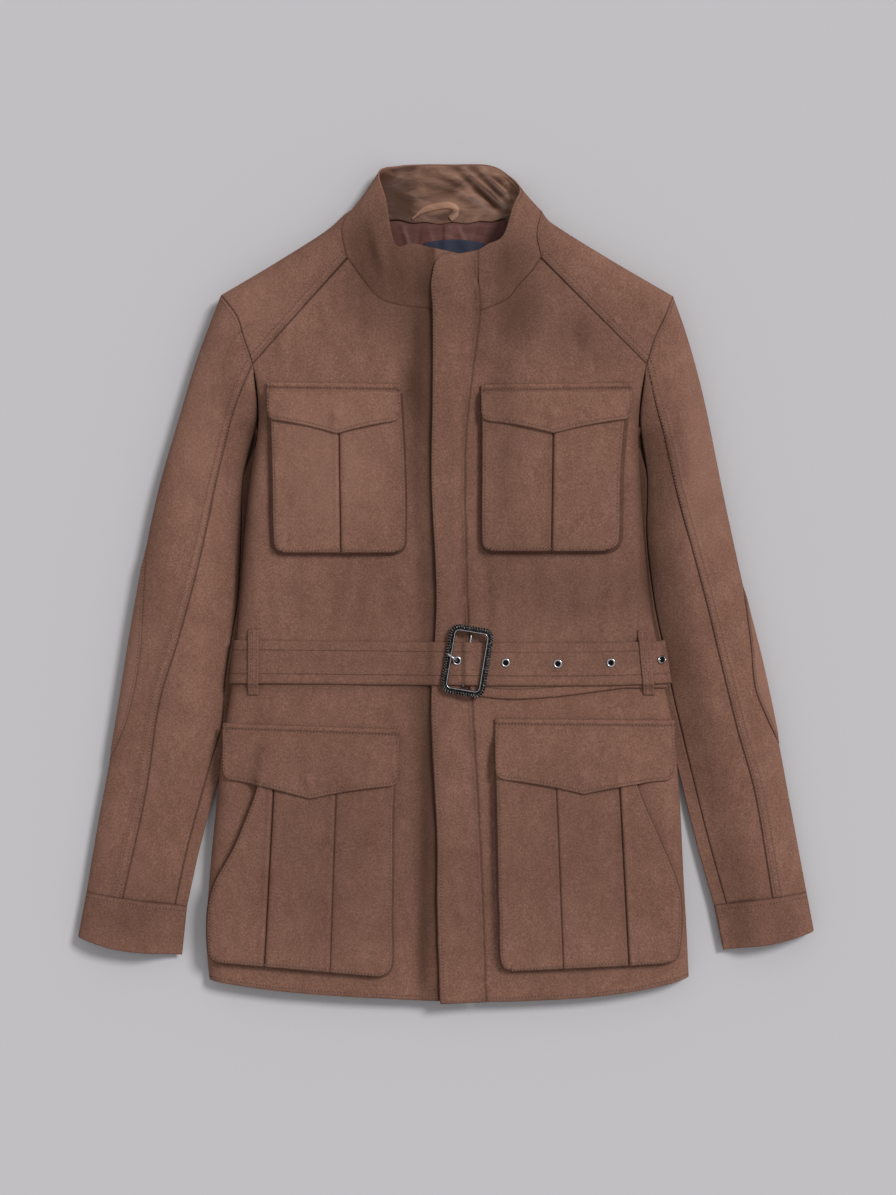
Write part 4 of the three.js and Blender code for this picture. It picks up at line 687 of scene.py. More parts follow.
def stitching(name, material):
    """All the stitches: each is a bead of three four-sided rings, widest at its middle, that
    sinks into the cloth at both ends."""
    ends = np.concatenate(STITCHES)
    ends = ends[np.abs(ends[:, 0, 2] - ends[:, 1, 2]) < 1.5]
    ahead = unit(ends[:, 1] - ends[:, 0])
    across = np.stack([-ahead[:, 1], ahead[:, 0], 0 * ahead[:, 0]], -1)
    up = np.cross(ahead, across)
    rings = []
    for place, size, lift in ((0, 0.35, -0.15), (0.5, 1, 0.1), (1, 0.35, -0.15)):
        middle = mix(ends[:, 0], ends[:, 1], place) + lift * up
        for u, v in ((1, 0), (0, 1), (-1, 0), (0, -1)):
            rings.append(middle + size * STITCH["radius"] * (u * across + v * up))
    points = np.stack(rings, 1)
    faces = [(4 * r + k, 4 * r + (k + 1) % 4, 4 * r + 4 + (k + 1) % 4, 4 * r + 4 + k)
             for r in (0, 1) for k in range(4)] + [(3, 2, 1, 0), (8, 9, 10, 11)]
    each = np.arange(len(ends))[:, None, None] * 12
    piece = build(name, points.reshape(-1, 3), (each + np.array(faces)).reshape(-1, 4), material)


def nap_and_shade_at(x, y):
    """How much darker a place is painted, partly for the nap and partly as painted shade, or lighter as
    painted light where the sum is negative: the sum of the soft spots in NAP_AND_SHADE_SPOTS.
    """
    total = np.zeros(np.shape(x))
    for cx, cy, rx, ry, amount in NAP_AND_SHADE_SPOTS:
        total += amount * np.exp(-((x - cx) / rx) ** 2 - ((y - cy) / ry) ** 2)
    return total


def nearest_line(grid, chains):
    """Distance from each place to the nearest of some lines."""
    x, y = grid[..., 0], grid[..., 1]
    away = [np.abs(to_line(points, x, y)[0]) for points in chains]
    return np.minimum.reduce(away) if away else np.full(x.shape, FAR)


def cloth(name, grid, thickness, material, nodes, side=1, down=False, ring=False, seams=(),
          sewn=(), pile=True, shade=None):
    """A cloth piece: its wall, its sewn rows and the CAD nodes it takes the place of."""
    points, faces = wall_points(grid, thickness, side, down, ring)
    seam, gap = rows_of_stitches(grid, seams)
    near = np.abs(seam)
    shade = nap_and_shade_at(grid[..., 0], grid[..., 1]) + (0 if shade is None else shade)
    join = nearest_line(grid, sewn)
    fields = {key: spread(values, grid, ring)
              for key, values in (("seam", seam), ("gap", gap), ("near", near), ("join", join),
                                  ("shade", shade))}
    piece = build(name, points, faces, material, fields=fields)
    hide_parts(*nodes)
    whole = np.concatenate([grid, grid[:, :1]], 1) if ring else grid
    if pile:
        PILE.add(whole)
    for points, row in seams:
        for away in {-row, row}:
            sew(offset(points, away))
    cells = np.cross(whole[1:, 1:] - whole[:-1, :-1], whole[1:, :-1] - whole[:-1, 1:])


# Shaders

class Value:
    """A socket that can be used in Python sums: + - * and / add Math nodes."""

    def __init__(self, tree, socket):
        self.tree, self.socket = tree, socket

    def _math(self, operation, *inputs):
        return self.tree.math(operation, *inputs)

    def __add__(self, other):
        return self._math("ADD", self, other)

    __radd__ = __add__

    def __sub__(self, other):
        return self._math("SUBTRACT", self, other)

    def __rsub__(self, other):
        return self._math("SUBTRACT", other, self)

    def __mul__(self, other):
        return self._math("MULTIPLY", self, other)

    __rmul__ = __mul__

    def __truediv__(self, other):
        return self._math("DIVIDE", self, other)


class Shader:
    """A material and short names for its nodes."""

    def __init__(self, name, **settings):
        self.material = bpy.data.materials.new(name)
        self.material.use_nodes = True
        self.nodes = self.material.node_tree.nodes
        self.links = self.material.node_tree.links
        self.bsdf = self.nodes["Principled BSDF"]
        self.set(**settings)

    def set(self, **settings):
        """Values of the Principled sockets; a space in a name is written as an underscore."""
        for key, value in settings.items():
            self.put(value, self.bsdf.inputs[key.replace("_", " ")])

    def put(self, value, socket):
        if isinstance(value, Value):
            self.links.new(value.socket, socket)
        else:
            socket.default_value = value

    def node(self, kind, settings=None, output=0, **inputs):
        """One node: its type, its settings, then the values or links of its sockets."""
        made = self.nodes.new("ShaderNode" + kind)
        for key, value in (settings or {}).items():
            if key == "stops":
                self.ramp(made, value)
            else:
                setattr(made, key, value)
        for key, value in inputs.items():
            self.put(value, made.inputs[key])
        return Value(self, made.outputs[output])

    @staticmethod
    def ramp(made, stops):
        band = made.color_ramp
        while len(band.elements) < len(stops):
            band.elements.new(0.5)
        for element, (place, color) in zip(band.elements, stops):
            element.position = place
            element.color = (*color, 1)

    def math(self, operation, *inputs):
        made = self.nodes.new("ShaderNodeMath")
        made.operation = operation
        for value, socket in zip(inputs, made.inputs):
            self.put(value, socket)
        return Value(self, made.outputs[0])

    def abs(self, value):
        return self.math("ABSOLUTE", value)

    def bell(self, value, width):
        """exp(-(value / width)^2)."""
        scaled = value / width
        return self.math("EXPONENT", 0 - scaled * scaled)

    def clamp(self, value, low, high):
        return self.math("MINIMUM", self.math("MAXIMUM", value, low), high)

    def field(self, name):
        return self.node("Attribute", dict(attribute_name=name), output="Fac")

    def place(self, scale):
        """Object coordinates in metres, stretched by a scale on each axis."""
        return self.node("Mapping", Vector=self.node("TexCoord", output="Object"), Scale=scale)

    def noise(self, where, scale, detail=3, roughness=0.5, distortion=0):
        return self.node("TexNoise", Vector=where, Scale=scale, Detail=detail,
                         Roughness=roughness, Distortion=distortion)

    def blend(self, share, a, b):
        """Mix of two colours."""
        made = self.nodes.new("ShaderNodeMix")
        made.data_type = "RGBA"
        self.put(share, made.inputs[0])
        self.put(a, made.inputs[6])
        self.put(b, made.inputs[7])
        return Value(self, made.outputs[2])

    def bump(self, height, distance, strength):
        """Normal of a surface raised by a height times a distance in metres."""
        made = self.nodes.new("ShaderNodeBump")
        made.inputs["Strength"].default_value = strength
        made.inputs["Distance"].default_value = distance
        self.put(height, made.inputs["Height"])
        return Value(self, made.outputs[0])


def linear(red, green, blue):
    """Colour in the light's own scale from the 0 to 255 of a screen: c/12.92 below 0.04045, else
    ((c + 0.055)/1.055)^2.4."""
    c = np.array([red, green, blue]) / 255
    c = np.where(c <= 0.04045, c / 12.92, ((c + 0.055) / 1.055) ** 2.4)
    return (*c, 1.0)


def opaque(color, share=1):
    """A colour times a share, with an alpha of 1."""
    return (*[c * share for c in color], 1)


def suede(name, dark, middle, light):
    """Brushed faux suede: three tones mixed by broad, streaky and fine noise and by the shade
    field, a fine nap in the bump, and along each sewn seam a sunk row and the puckers beside it."""
    s = Shader(name, Roughness=0.95, Specular_IOR_Level=0.12)
    where = s.place((1, 1, 1))
    broad = s.noise(where, 15, 4, 0.62)
    streak = s.noise(s.place((1, 0.5, 1)), 95, 5, 0.7, 0.3)
    fine = s.noise(where, 620, 3, 0.75)
    tone = s.clamp((broad - 0.5) * 0.5 + (streak - 0.5) * 0.55 + (fine - 0.5) * 1.7 + 0.5, 0, 1)
    color = s.node("ValToRGB", dict(stops=[(0.0, dark), (0.5, middle), (1.0, light)]), Fac=tone)
    shade = s.field("shade")
    color = s.blend(s.clamp(0 - shade, 0, 0.6), color, opaque(light))
    color = s.blend(s.clamp(shade * 0.75, 0, 0.9), color, opaque(dark, 0.42))
    line_of_seam = s.bell(s.field("join"), 0.65)
    color = s.blend(line_of_seam * 0.5, color, opaque(dark, 0.42))
    seam, gap, near = s.field("seam"), s.field("gap"), s.field("near")
    row = s.bell(s.abs(seam) - gap, 0.55) * s.clamp(5.5 + gap - near, 0, 1)
    band = s.bell(near, 6)
    pucker = s.noise(where, 170, 2, 0.5)
    color = s.blend(row * 0.55, color, opaque(dark, 0.55))
    nap = s.noise(where, 2400, 2, 0.6)
    nap_height = fine * 0.16 + nap * 0.05 + streak * 0.22
    height = nap_height + band * pucker * 0.9 - row * 0.32 - line_of_seam * 0.6
    s.set(Base_Color=color, Normal=s.bump(height, 0.001, 0.9), Sheen_Weight=0.12,
          Sheen_Roughness=0.5, Sheen_Tint=opaque(light))
    return s.material


def tones(*colors):
    """Screen colours in the light's own scale."""
    return [linear(*c)[:3] for c in colors]


def satin(name, dark, light, roughness, wrinkle):
    """Satin: painted light and shade in two tones along soft diagonal wrinkles, which also raise its bump,
    darkened further by the shade field; a low gloss and a fine thread.
    """
    s = Shader(name, Roughness=roughness, Specular_IOR_Level=0.22)
    turned_place = s.node("Mapping", Vector=s.node("TexCoord", output="Object"),
                          Rotation=(0, 0, 0.7), Scale=(1, 2.6, 1))
    folds = s.noise(turned_place, 34, 3, 0.55, 0.8)
    thread = s.noise(s.place((1, 8, 1)), 900, 2, 0.5)
    tone = s.clamp((folds - 0.5) * 1.3 + (thread - 0.5) * 0.3 + 0.5 - s.field("shade"), 0, 1)
    color = s.blend(tone, opaque(dark), opaque(light))
    s.set(Base_Color=color, Normal=s.bump(folds * wrinkle + thread * 0.02, 0.001, 0.9))
    return s.material


def metal(name, color, worn, roughness):
    """Plated metal: fine noise breaks its gloss, and wear shows where the noise is high."""
    s = Shader(name, Metallic=1.0)
    spots = s.noise(s.place((1, 1, 1)), 420, 4, 0.6)
    wear = s.clamp((spots - 0.52) * 5, 0, 1)
    s.set(Base_Color=s.blend(wear, opaque(color), opaque(worn)), Roughness=roughness + spots * 0.18,
          Normal=s.bump(spots, 0.0002, 0.5))
    return s.material


def woven(name, ground, thread):
    """Plain woven tape: narrow ribs of two close blues."""
    s = Shader(name, Roughness=0.7)
    ribs = s.node("TexWave", dict(wave_type="BANDS", bands_direction="Y"), output="Fac",
                  Vector=s.place((1, 1, 1)), Scale=420, Distortion=0.4)
    s.set(Base_Color=s.blend(ribs, opaque(ground), opaque(thread)), Normal=s.bump(ribs, 0.0002, 0.4))
    return s.material


def thread_finish(name, color):
    """Sewing thread: a slightly glossy twist."""
    s = Shader(name, Roughness=0.6)
    twist = s.noise(s.place((1, 1, 1)), 2200, 2, 0.5)
    s.set(Base_Color=s.blend(twist, opaque(color, 0.8), opaque(color)))
    return s.material


SUEDE = suede("brushed_suede", *tones((96, 65, 54), (125, 90, 76), (155, 117, 102)))
# The same suede in darker tones, as painted shade for the gussets that lie in the shadow of the pocket
# panels.
SUEDE_SHADED = suede("suede_in_shade", *tones((80, 54, 44), (106, 75, 63), (132, 99, 85)))
FACING = satin("satin_facing", *tones((80, 53, 41), (172, 130, 108)), 0.48, 0.9)
LINING = satin("satin_lining", *tones((92, 55, 49), (148, 101, 92)), 0.5, 0.7)
LABEL = woven("plain_label", *tones((24, 29, 48), (38, 44, 68)))
NICKEL_WORN = metal("worn_silver", *tones((120, 116, 114), (222, 220, 220)), 0.22)
GUNMETAL = metal("gunmetal", *tones((34, 31, 30), (104, 100, 98)), 0.34)
NICKEL = metal("nickel", *tones((190, 190, 194), (225, 225, 228)), 0.14)
# Near-black suede: the painted shadow inside each eyelet's hole.
HOLE_SHADOW = suede("eyelet_shadow", *tones((20, 14, 12), (30, 21, 18), (44, 31, 27)))
THREAD = thread_finish("thread", tones((152, 116, 101))[0])


# Pieces

def across_grid(grid, side, away):
    """Line at a distance from one side of a grid: first or last row, left or right column."""
    g = {"first": grid, "last": grid[::-1], "left": grid.transpose(1, 0, 2),
         "right": grid.transpose(1, 0, 2)[::-1]}[side]
    run = np.cumsum(np.linalg.norm(np.diff(g, axis=0), axis=-1), axis=0)
    k = np.clip((run < away).sum(0), 0, len(g) - 2)
    j = np.arange(g.shape[1])
    before = np.where(k > 0, run[np.maximum(k - 1, 0), j], 0)
    t = np.clip((away - before) / np.maximum(run[k, j] - before, 1e-6), 0, 1)[:, None]
    return mix(g[k, j], g[k + 1, j], t)


def stand_back(grid, first=0, last=0, left=0, right=0):
    """Draws the edges of a sheet back from its seams."""
    out = grid.copy()
    every = slice(None)
    edges = ((first, (0,), (1,)), (last, (-1,), (-2,)),
             (left, (every, 0), (every, 1)), (right, (every, -1), (every, -2)))
    for room, at, beside in edges:
        out[at] += unit(grid[beside] - grid[at]) * np.reshape(room, (-1, 1))
    return out


def tread(x, y, size, seed):
    """Small unevenness of hand-laid cloth: three sine waves that cross at odd angles."""
    return size * (np.sin(x / 23 + y / 61 + seed) + 0.7 * np.sin(y / 31 - x / 47 + 2 * seed)
                   + 0.5 * np.sin(x / 11 + y / 17 + 3 * seed)) / 2.2


def beside_placket(x, y):
    """Distance of a place from the placket's free edge, positive on the wearer's right."""
    return column([row[::-1] for row in PLACKET_EDGE], 1, y) - x


def front(side, edge):
    """A front: its face from hem to yoke seam and collar, and its side turned under."""
    fold, seam, neck = line(edge["side"]), line(edge["yoke_seam"]), line(edge["collar_front"])
    v = steps(210)
    u = np.concatenate([[0, 0.002, 0.006, 0.012, 0.02, 0.03, 0.042], np.linspace(0.055, 1, 78)])
    grid = between(line(edge["hem"]), joined(seam, neck, 0.58), fold, line(edge["centre"]), u, v)
    grid[..., 2] = body_height(grid[..., 0], grid[..., 1])
    edge_fade = smooth(u * 245 / 30)[None]
    grid[..., 2] += edge_fade * tread(grid[..., 0], grid[..., 1], 0.5, edge["sign"])
    folds = fold(v)
    grid[:, 0, 2] = folds[:, 2]
    under = side_turn(edge, folds, belt_lift(folds[:, 1]))
    grid = stand_back(np.concatenate([under, grid], 1), last=0.2, right=0.2)
    hem = across_grid(grid, "first", 3)[SIDE_STEPS + 1:]
    x, y = grid[..., 0], grid[..., 1]
    below = column(BELT_LINE, 1, x) - BELT_WIDTH / 2 - y
    shade = 0.35 * bell(below, 9)
    by_sleeve = smooth((y + 60) / 60) * (1 - smooth((y - 168) / 26))
    from_fold = np.abs(x - grid[:, SIDE_STEPS:SIDE_STEPS + 1, 0])
    shade = shade + 0.5 * by_sleeve * bell(from_fold, 7)
    if side == "right":
        beside = beside_placket(x, y)
        shade = shade + 0.75 * bell(np.maximum(beside, 0), 5.5) + 0.3 * bell(beside - 12, 9)
    cloth(f"front_{side}_cloth", grid, SUEDE_THICK, SUEDE,
          [f"front_{side}", f"front_{side}_side"], side=-edge["sign"], seams=[(hem, 0)],
          sewn=[grid[-1, SIDE_STEPS:]], shade=shade)


def yoke(side, edge):
    """A yoke over the shoulder: its face, and its back part turned under along the shoulder."""
    shoulder = line(edge["shoulder"])
    v = 1 - np.concatenate([np.linspace(1, 0.06, 40), [0.045, 0.03, 0.018, 0.008, 0.003, 0]])
    grid = between(reverse(line(edge["yoke_seam"])), shoulder, line(edge["collar_side"]),
                   reverse(line(edge["armhole"])), steps(58), v)
    grid[..., 2] = body_height(grid[..., 0], grid[..., 1])
    folds = shoulder(steps(58))
    grid[-1, :, 2] = folds[:, 2]
    inward = np.array([[-edge["sign"] * 0.5, -0.86, 0.0]])
    under = turned(folds, inward, SHOULDER_TURN, 0, np.arange(8) / 8)[:, ::-1].transpose(1, 0, 2)
    grid = stand_back(np.concatenate([grid, under]), first=SEAM_ROOM, left=SEAM_ROOM, right=SEAM_ROOM)
    rows = offset(grid[0], 4.8 * edge["sign"])
    cloth(f"yoke_{side}_cloth", grid, SUEDE_THICK, SUEDE, [f"yoke_{side}"],
          side=edge["sign"], seams=[(rows, 2.3)], sewn=[grid[0], grid[:-8, 0], grid[:-8, -1]])


def back():
    """The back lies flat on the table, a little inside the fronts' turned sides, and rises over
    the belt that passes under it."""
    ys = np.concatenate([np.linspace(-394, 216.5, 90), np.linspace(217.5, 330, 16)])
    ends = []
    for edge in EDGES.values():
        fold, shoulder = line(edge["side"]), line(edge["shoulder"])
        start, end = sleeve_under_start(edge), sleeve_under_end(edge, steps(2))[0]
        low = fold(share_at_y(fold, ys))[:, 0] - edge["sign"] * (SIDE_TURN + 1.8)
        arm = mix(start[0], end[0], (ys - start[1]) / (end[1] - start[1])) - edge["sign"] * 2.5
        high = shoulder(share_at_y(shoulder, ys + SHOULDER_TURN + 4))[:, 0] - edge["sign"] * 6
        ends.append(np.where(ys < 217, low, np.where(ys < 264, arm, high)))
    u = steps(40)
    x = mix(ends[0][:, None], ends[1][:, None], u)
    grid = np.stack([x, ys[:, None] + 0 * x, belt_lift(ys)[:, None] + 0 * x], -1)
    hem_x = x[0]
    hem = np.stack([hem_x, -396 - 20 * (1 - (hem_x / 210) ** 2), 0 * hem_x], -1)
    neck = np.stack([mix(-70, 70, u), 359.6 + 5 * (2 * u - 1) ** 2, 0 * u], -1)
    grid = np.concatenate([hem[None], grid, neck[None]])
    cloth("back_cloth", grid, SUEDE_THICK, SUEDE, ["back"], side=-1)
    PILE.add(grid + [0, 0, SUEDE_THICK])


# Sleeves

def sleeve_inward(edge, v):
    """Direction in which a sleeve's outer fold turns under: along the armhole at its top, square
    to the sleeve below, with a smooth change between."""
    top, below = np.array([-edge["sign"] * 0.5, -0.86, 0]), np.array([-edge["sign"], -0.2, 0])
    return unit(mix(top, below, smooth(np.asarray(v) / 0.14)[..., None]))


def sleeve_under_end(edge, v):
    """Line on the table where a sleeve's under piece meets the turned-under outer piece."""
    end = line(edge["sleeve_outer"])(v) + sleeve_inward(edge, v) * (SLEEVE_TURN + 2)
    end[..., 2] = 0
    return end


def sleeve_under_start(edge):
    """Place on the table below the top of a sleeve's inner fold."""
    start = line(edge["sleeve_inner"])(0.0) + [edge["sign"] * SLEEVE_INNER_TURN * 0.2, 0, 0]
    return start * [1, 1, 0]


def sleeve_height(edge, x, y, share):
    """Height of a sleeve: its loft, less a round drop to the outer fold, an easy drop to the
    inner fold and the creases, blended into the body's height near the armhole."""
    outer = to_line(line(edge["sleeve_outer"])(steps(40)), x, y)
    inner = to_line(line(edge["sleeve_inner"])(steps(40)), x, y)
    top = mix(SLEEVE_LOFT, CUFF_LOFT, smooth((share - 0.35) / 0.65))
    outer_drop = (top - outer[1]) * (1 - roll(np.abs(outer[0]) / SLEEVE_ROUND))
    inner_drop = (top - inner[1]) * (1 - smooth(np.abs(inner[0]) / SLEEVE_VALLEY))
    fade = smooth(np.abs(outer[0]) / 25) * smooth(np.abs(inner[0]) / 25)
    deep = creases(SLEEVE_CREASES, x, y) + creases(SLEEVE_FINE, x, y)
    own = top - outer_drop - inner_drop - fade * (deep - tread(x, y, 0.4, edge["sign"] + 2))
    length = np.linalg.norm(line(edge["armhole"])(0.5) - line(edge["cuff_hem"])(0.5))
    return mix(body_height(x, y), own, smooth(share * length / ARMHOLE_BLEND))


def inner_seam(edge, s):
    """Seam of a sleeve's inner and under pieces, which lies beside the inner fold."""
    fold, outer = line(edge["sleeve_inner"])(s), line(edge["sleeve_outer"])(s)
    towards = unit((outer - fold) * [1, 1, 0])
    return fold + towards * (INNER_SEAM * smooth((np.asarray(s) - 0.06) / 0.16))[..., None]


def outer_sleeve(edge, v, u, under_count):
    """Face of a sleeve's outer piece, with its turned-under part in under_count columns."""
    outer, seam = line(edge["sleeve_outer"]), line(edge["front_seam"])
    grid = between(line(edge["armhole"]), straight(outer(1.0), seam(1.0)), outer, seam, u, v)
    grid[..., 2] = sleeve_height(edge, grid[..., 0], grid[..., 1], v[:, None])
    folds = outer(v)
    grid[:, 0, 2] = np.where(u[0] == 0, folds[:, 2], grid[:, 0, 2])
    if not under_count:
        return grid
    under = turned(folds, sleeve_inward(edge, v), SLEEVE_TURN, 0, np.arange(under_count) / under_count)
    return np.concatenate([under, grid], 1)


def sleeve(side, edge):
    """A sleeve's three pieces: the outer one, the inner one beside the body, and the under one
    that runs from the inner seam round the inner fold and across the table."""
    v = steps(200)
    u = np.concatenate([[0, 0.008, 0.02, 0.04, 0.06, 0.09, 0.12, 0.16], np.linspace(0.2, 0.88, 20),
                        [0.91, 0.94, 0.97, 1]])
    grid = stand_back(outer_sleeve(edge, v, u, 7), first=SEAM_ROOM, last=0.2, right=SEAM_ROOM)
    from_seam = np.linalg.norm(grid - grid[:, -1:], axis=-1)
    grid[..., 2] += 0.9 * smooth((13 - from_seam) / 3) * smooth((v[:, None] - 0.02) / 0.06)
    rows = across_grid(grid, "right", 5.6)
    armhole = across_grid(grid, "first", 4)[8:]
    cloth(f"sleeve_{side}_outer_cloth", grid, SUEDE_THICK, SUEDE, [f"sleeve_{side}_outer"],
          side=edge["sign"], seams=[(rows, DOUBLE), (armhole, 0)],
          sewn=[grid[0, 7:], grid[:, -1]])
    seam, inner = line(edge["front_seam"]), line(edge["sleeve_inner"])
    room = 0.2 + 0.3 * (1 - smooth((v - 0.2) / 0.12))
    rim = inner_seam(edge, v)
    chord = mix(seam(v)[:, None], rim[:, None], steps(20)[None, :, None])
    chord[..., 2] = sleeve_height(edge, chord[..., 0], chord[..., 1], v[:, None])
    chord = stand_back(chord, first=SEAM_ROOM, last=0.2, left=SEAM_ROOM, right=room)
    by_body = smooth((chord[..., 1] + 60) / 90) * (1 - smooth((chord[..., 1] - 176) / 30))
    from_rim = np.linalg.norm(chord - rim[:, None], axis=-1)
    cloth(f"sleeve_{side}_inner_cloth", chord,
          SUEDE_THICK, SUEDE, [f"sleeve_{side}_inner"], side=edge["sign"],
          sewn=[chord[:, 0], chord[:, -1]], shade=0.6 * by_body * bell(from_rim, 8))
    folds, far = inner(v), sleeve_under_end(edge, v)
    towards = unit((far - folds) * [1, 1, 0])
    first = mix(0.15, -1, smooth((v - 0.06) / 0.16))
    a = mix(first[:, None], 1, steps(19)[None])
    below = folds[:, None] + towards[:, None] * (SLEEVE_INNER_TURN * np.clip(a, 0, 1) ** 1.4)[..., None]
    t = 1 - np.clip(a, 0, 1) ** 1.4
    below[..., 2] = folds[:, None, 2] * (0.5 * (1 - np.sqrt(1 - t * t)) + 0.5 * smooth(t))
    above = mix(folds[:, None], rim[:, None], np.clip(-a, 0, 1)[..., None])
    above[..., 2] = sleeve_height(edge, above[..., 0], above[..., 1], v[:, None])
    bend = np.where(a[..., None] >= 0, below, above)
    flat = mix(bend[:, -1:], far[:, None], (np.arange(1, 13) / 12)[None, :, None])
    under = stand_back(np.concatenate([bend, flat], 1), first=0.3, last=0.2, left=room)
    cloth(f"sleeve_{side}_under_cloth", under, SUEDE_THICK * 0.85, SUEDE,
          [f"sleeve_{side}_under"], side=edge["sign"], pile=False, sewn=[under[:, 0]],
          shade=0.6 * smooth((under[..., 1] + 60) / 90))


def cuff(side, edge):
    """A cuff band all round the end of a sleeve."""
    hem = line(edge["cuff_hem"])
    outer, inner = line(edge["sleeve_outer"])(1.0), line(edge["sleeve_inner"])(1.0)
    u = np.concatenate([[0, 0.01, 0.03, 0.06, 0.1, 0.15], np.linspace(0.2, 0.94, 22), [0.97, 1]])
    rows = []
    for v in np.concatenate([[0.012, 0.03], np.linspace(0.07, 0.95, 14), [0.985, 1]]):
        at = mix(straight(outer, inner)(u), hem(u), v) * [1, 1, 0]
        width = np.linalg.norm(at[0] - at[-1])
        at[:, 2] = CUFF_LOFT - (CUFF_LOFT - 11) * (1 - roll(u * width / SLEEVE_ROUND)) \
            - (CUFF_LOFT - 9) * (1 - smooth((1 - u) * width / 40))
        along = (at[-1] - at[0]) * [1, 1, 0] / width
        shares = np.arange(7) / 7
        under_b = turned(at[-1:], -along[None], 11, 0, shares)[0, ::-1]
        under_a = turned(at[:1], along[None], SLEEVE_TURN, 0, shares)[0]
        flat = mix(under_b[-1], under_a[0], steps(9)[1:-1, None])
        rows.append(np.concatenate([at, under_b, flat, under_a]))
    grid = np.array(rows)
    top = slice(0, len(u))
    cloth(f"cuff_{side}_cloth", grid, SUEDE_THICK, SUEDE, [f"cuff_{side}"],
          side=edge["sign"], ring=True, seams=[(across_grid(grid[:, top], "first", 5), 0)],
          sewn=[grid[0, top]])


def elbow_patch(side, edge):
    """A patch on the sleeve's outer fold, with a curved front edge."""
    outer = line(edge["sleeve_outer"])
    start, end = (share_at_y(outer, y) for y in edge["patch_span"])
    t = steps(60)
    reach = column(edge["patch_edge"], 1, t)
    rows = [outer_sleeve(edge, np.array([mix(start, end, s)]), steps(22) * r, 8)[0]
            for s, r in zip(t, reach)]
    grid = np.array(rows)[:, 2:]
    lift = (PATCH_THICK + GAP) * mix(0.2, 1, smooth(np.minimum(t, 1 - t) / 0.08))
    grid = grid + normals(grid, edge["sign"], False) * lift[:, None, None]
    cloth(f"elbow_patch_{side}_cloth", grid, PATCH_THICK, SUEDE,
          [f"elbow_patch_{side}"], side=edge["sign"], seams=[(across_grid(grid, "right", EDGE_ROW), 0)],
          sewn=[grid[:, -1]], shade=-0.3)


# Collar and neck

def collar_point(s, t):
    """The band between its seam (t = 0) and its free edge (t = 1), bulging a little between."""
    rows = [(i, *row) for i, row in enumerate(COLLAR)]
    at = [column(rows, k + 1, s) for k in range(6)]
    bulge = 2 * np.sin(np.pi * t) * smooth((at[2] - 5) / 20)
    return np.stack([mix(at[0], at[3], t), mix(at[1], at[4], t),
                     np.maximum(0, mix(at[2], at[5], t) + bulge)], -1)


def collar():
    """The stand collar in one piece, its seam pulled to the fronts' and yokes' neck edges."""
    s = np.linspace(0, len(COLLAR) - 1, 300)
    t = np.linspace(0, 1, 30)
    grid = collar_point(s[None], t[:, None])
    for edge in EDGES.values():
        seam = np.concatenate([line(edge["collar_front"])(steps(90))[::-1],
                               line(edge["collar_side"])(steps(60))])
        foot = grid[0]
        away = np.linalg.norm(foot[:, None, :2] - seam[None, :, :2], axis=-1)
        nearest = seam[away.argmin(1)]
        pull = smooth((14 - away.min(1)) / 8) * smooth((foot[:, 2] - 8) / 8)
        shift = (nearest - foot) * pull[:, None]
        shift[:, 2] = (body_height(nearest[:, 0], nearest[:, 1]) + 0.5 - foot[:, 2]) * pull
        grid = grid + shift[None] * ((1 - t) ** 2)[:, None, None]
    front_part = smooth((grid[..., 2] - 22) / 12)
    x, y = grid[..., 0], grid[..., 1]
    fold = creases(COLLAR_CREASES, x, y)
    grid[..., 2] -= front_part * fold
    seams = [(across_grid(grid, "last", EDGE_ROW)[-92:], 0)]
    beside = beside_placket(x, y)
    shade = 0.55 * front_part * smooth(beside + 2) * bell(beside, 11)
    cloth("collar_cloth", grid, SUEDE_THICK, SUEDE, ["collar"], side=-1, seams=seams,
          shade=shade + 0.2 * fold)


def collar_facing():
    """Satin facing inside the back of the collar, with folds where the collar lies flat."""
    stations = steps(37) * (len(COLLAR) - 1)
    s = np.linspace(stations[10], stations[30], 230)
    t = np.linspace(-0.035, 0.975, 60)
    grid = collar_point(s[None], t[:, None])
    grid = grid + normals(grid, 1, False) * (SUEDE_THICK + 3 * GAP)
    x, y = grid[..., 0], grid[..., 1]
    flat = 1 - smooth((grid[..., 2] - 8) / 14)
    foot = (1 - smooth((t + 0.035) / 0.1))[:, None]
    ripple = creases(FACING_CREASES, x, y)
    grid[..., 2] += flat * (np.maximum(1.5 * ripple, -0.8) + 0.9 * foot + 0.4)
    grid[..., 1] += flat * foot * 0.9 * np.sin(x / 4.3)
    shade = 0.08 + 0.35 * smooth((-18 - x) / 26) + 0.24 * ripple
    cloth("collar_facing_cloth", grid, SATIN_THICK, FACING, ["collar_facing"],
          side=-1, shade=shade)


def flat_sheet(left, right, bottom, top, across, along):
    """Rectangle on the table."""
    u, v = np.meshgrid(steps(across), steps(along))
    return np.stack([mix(left, right, u), mix(bottom, top, v), 0 * u], -1)


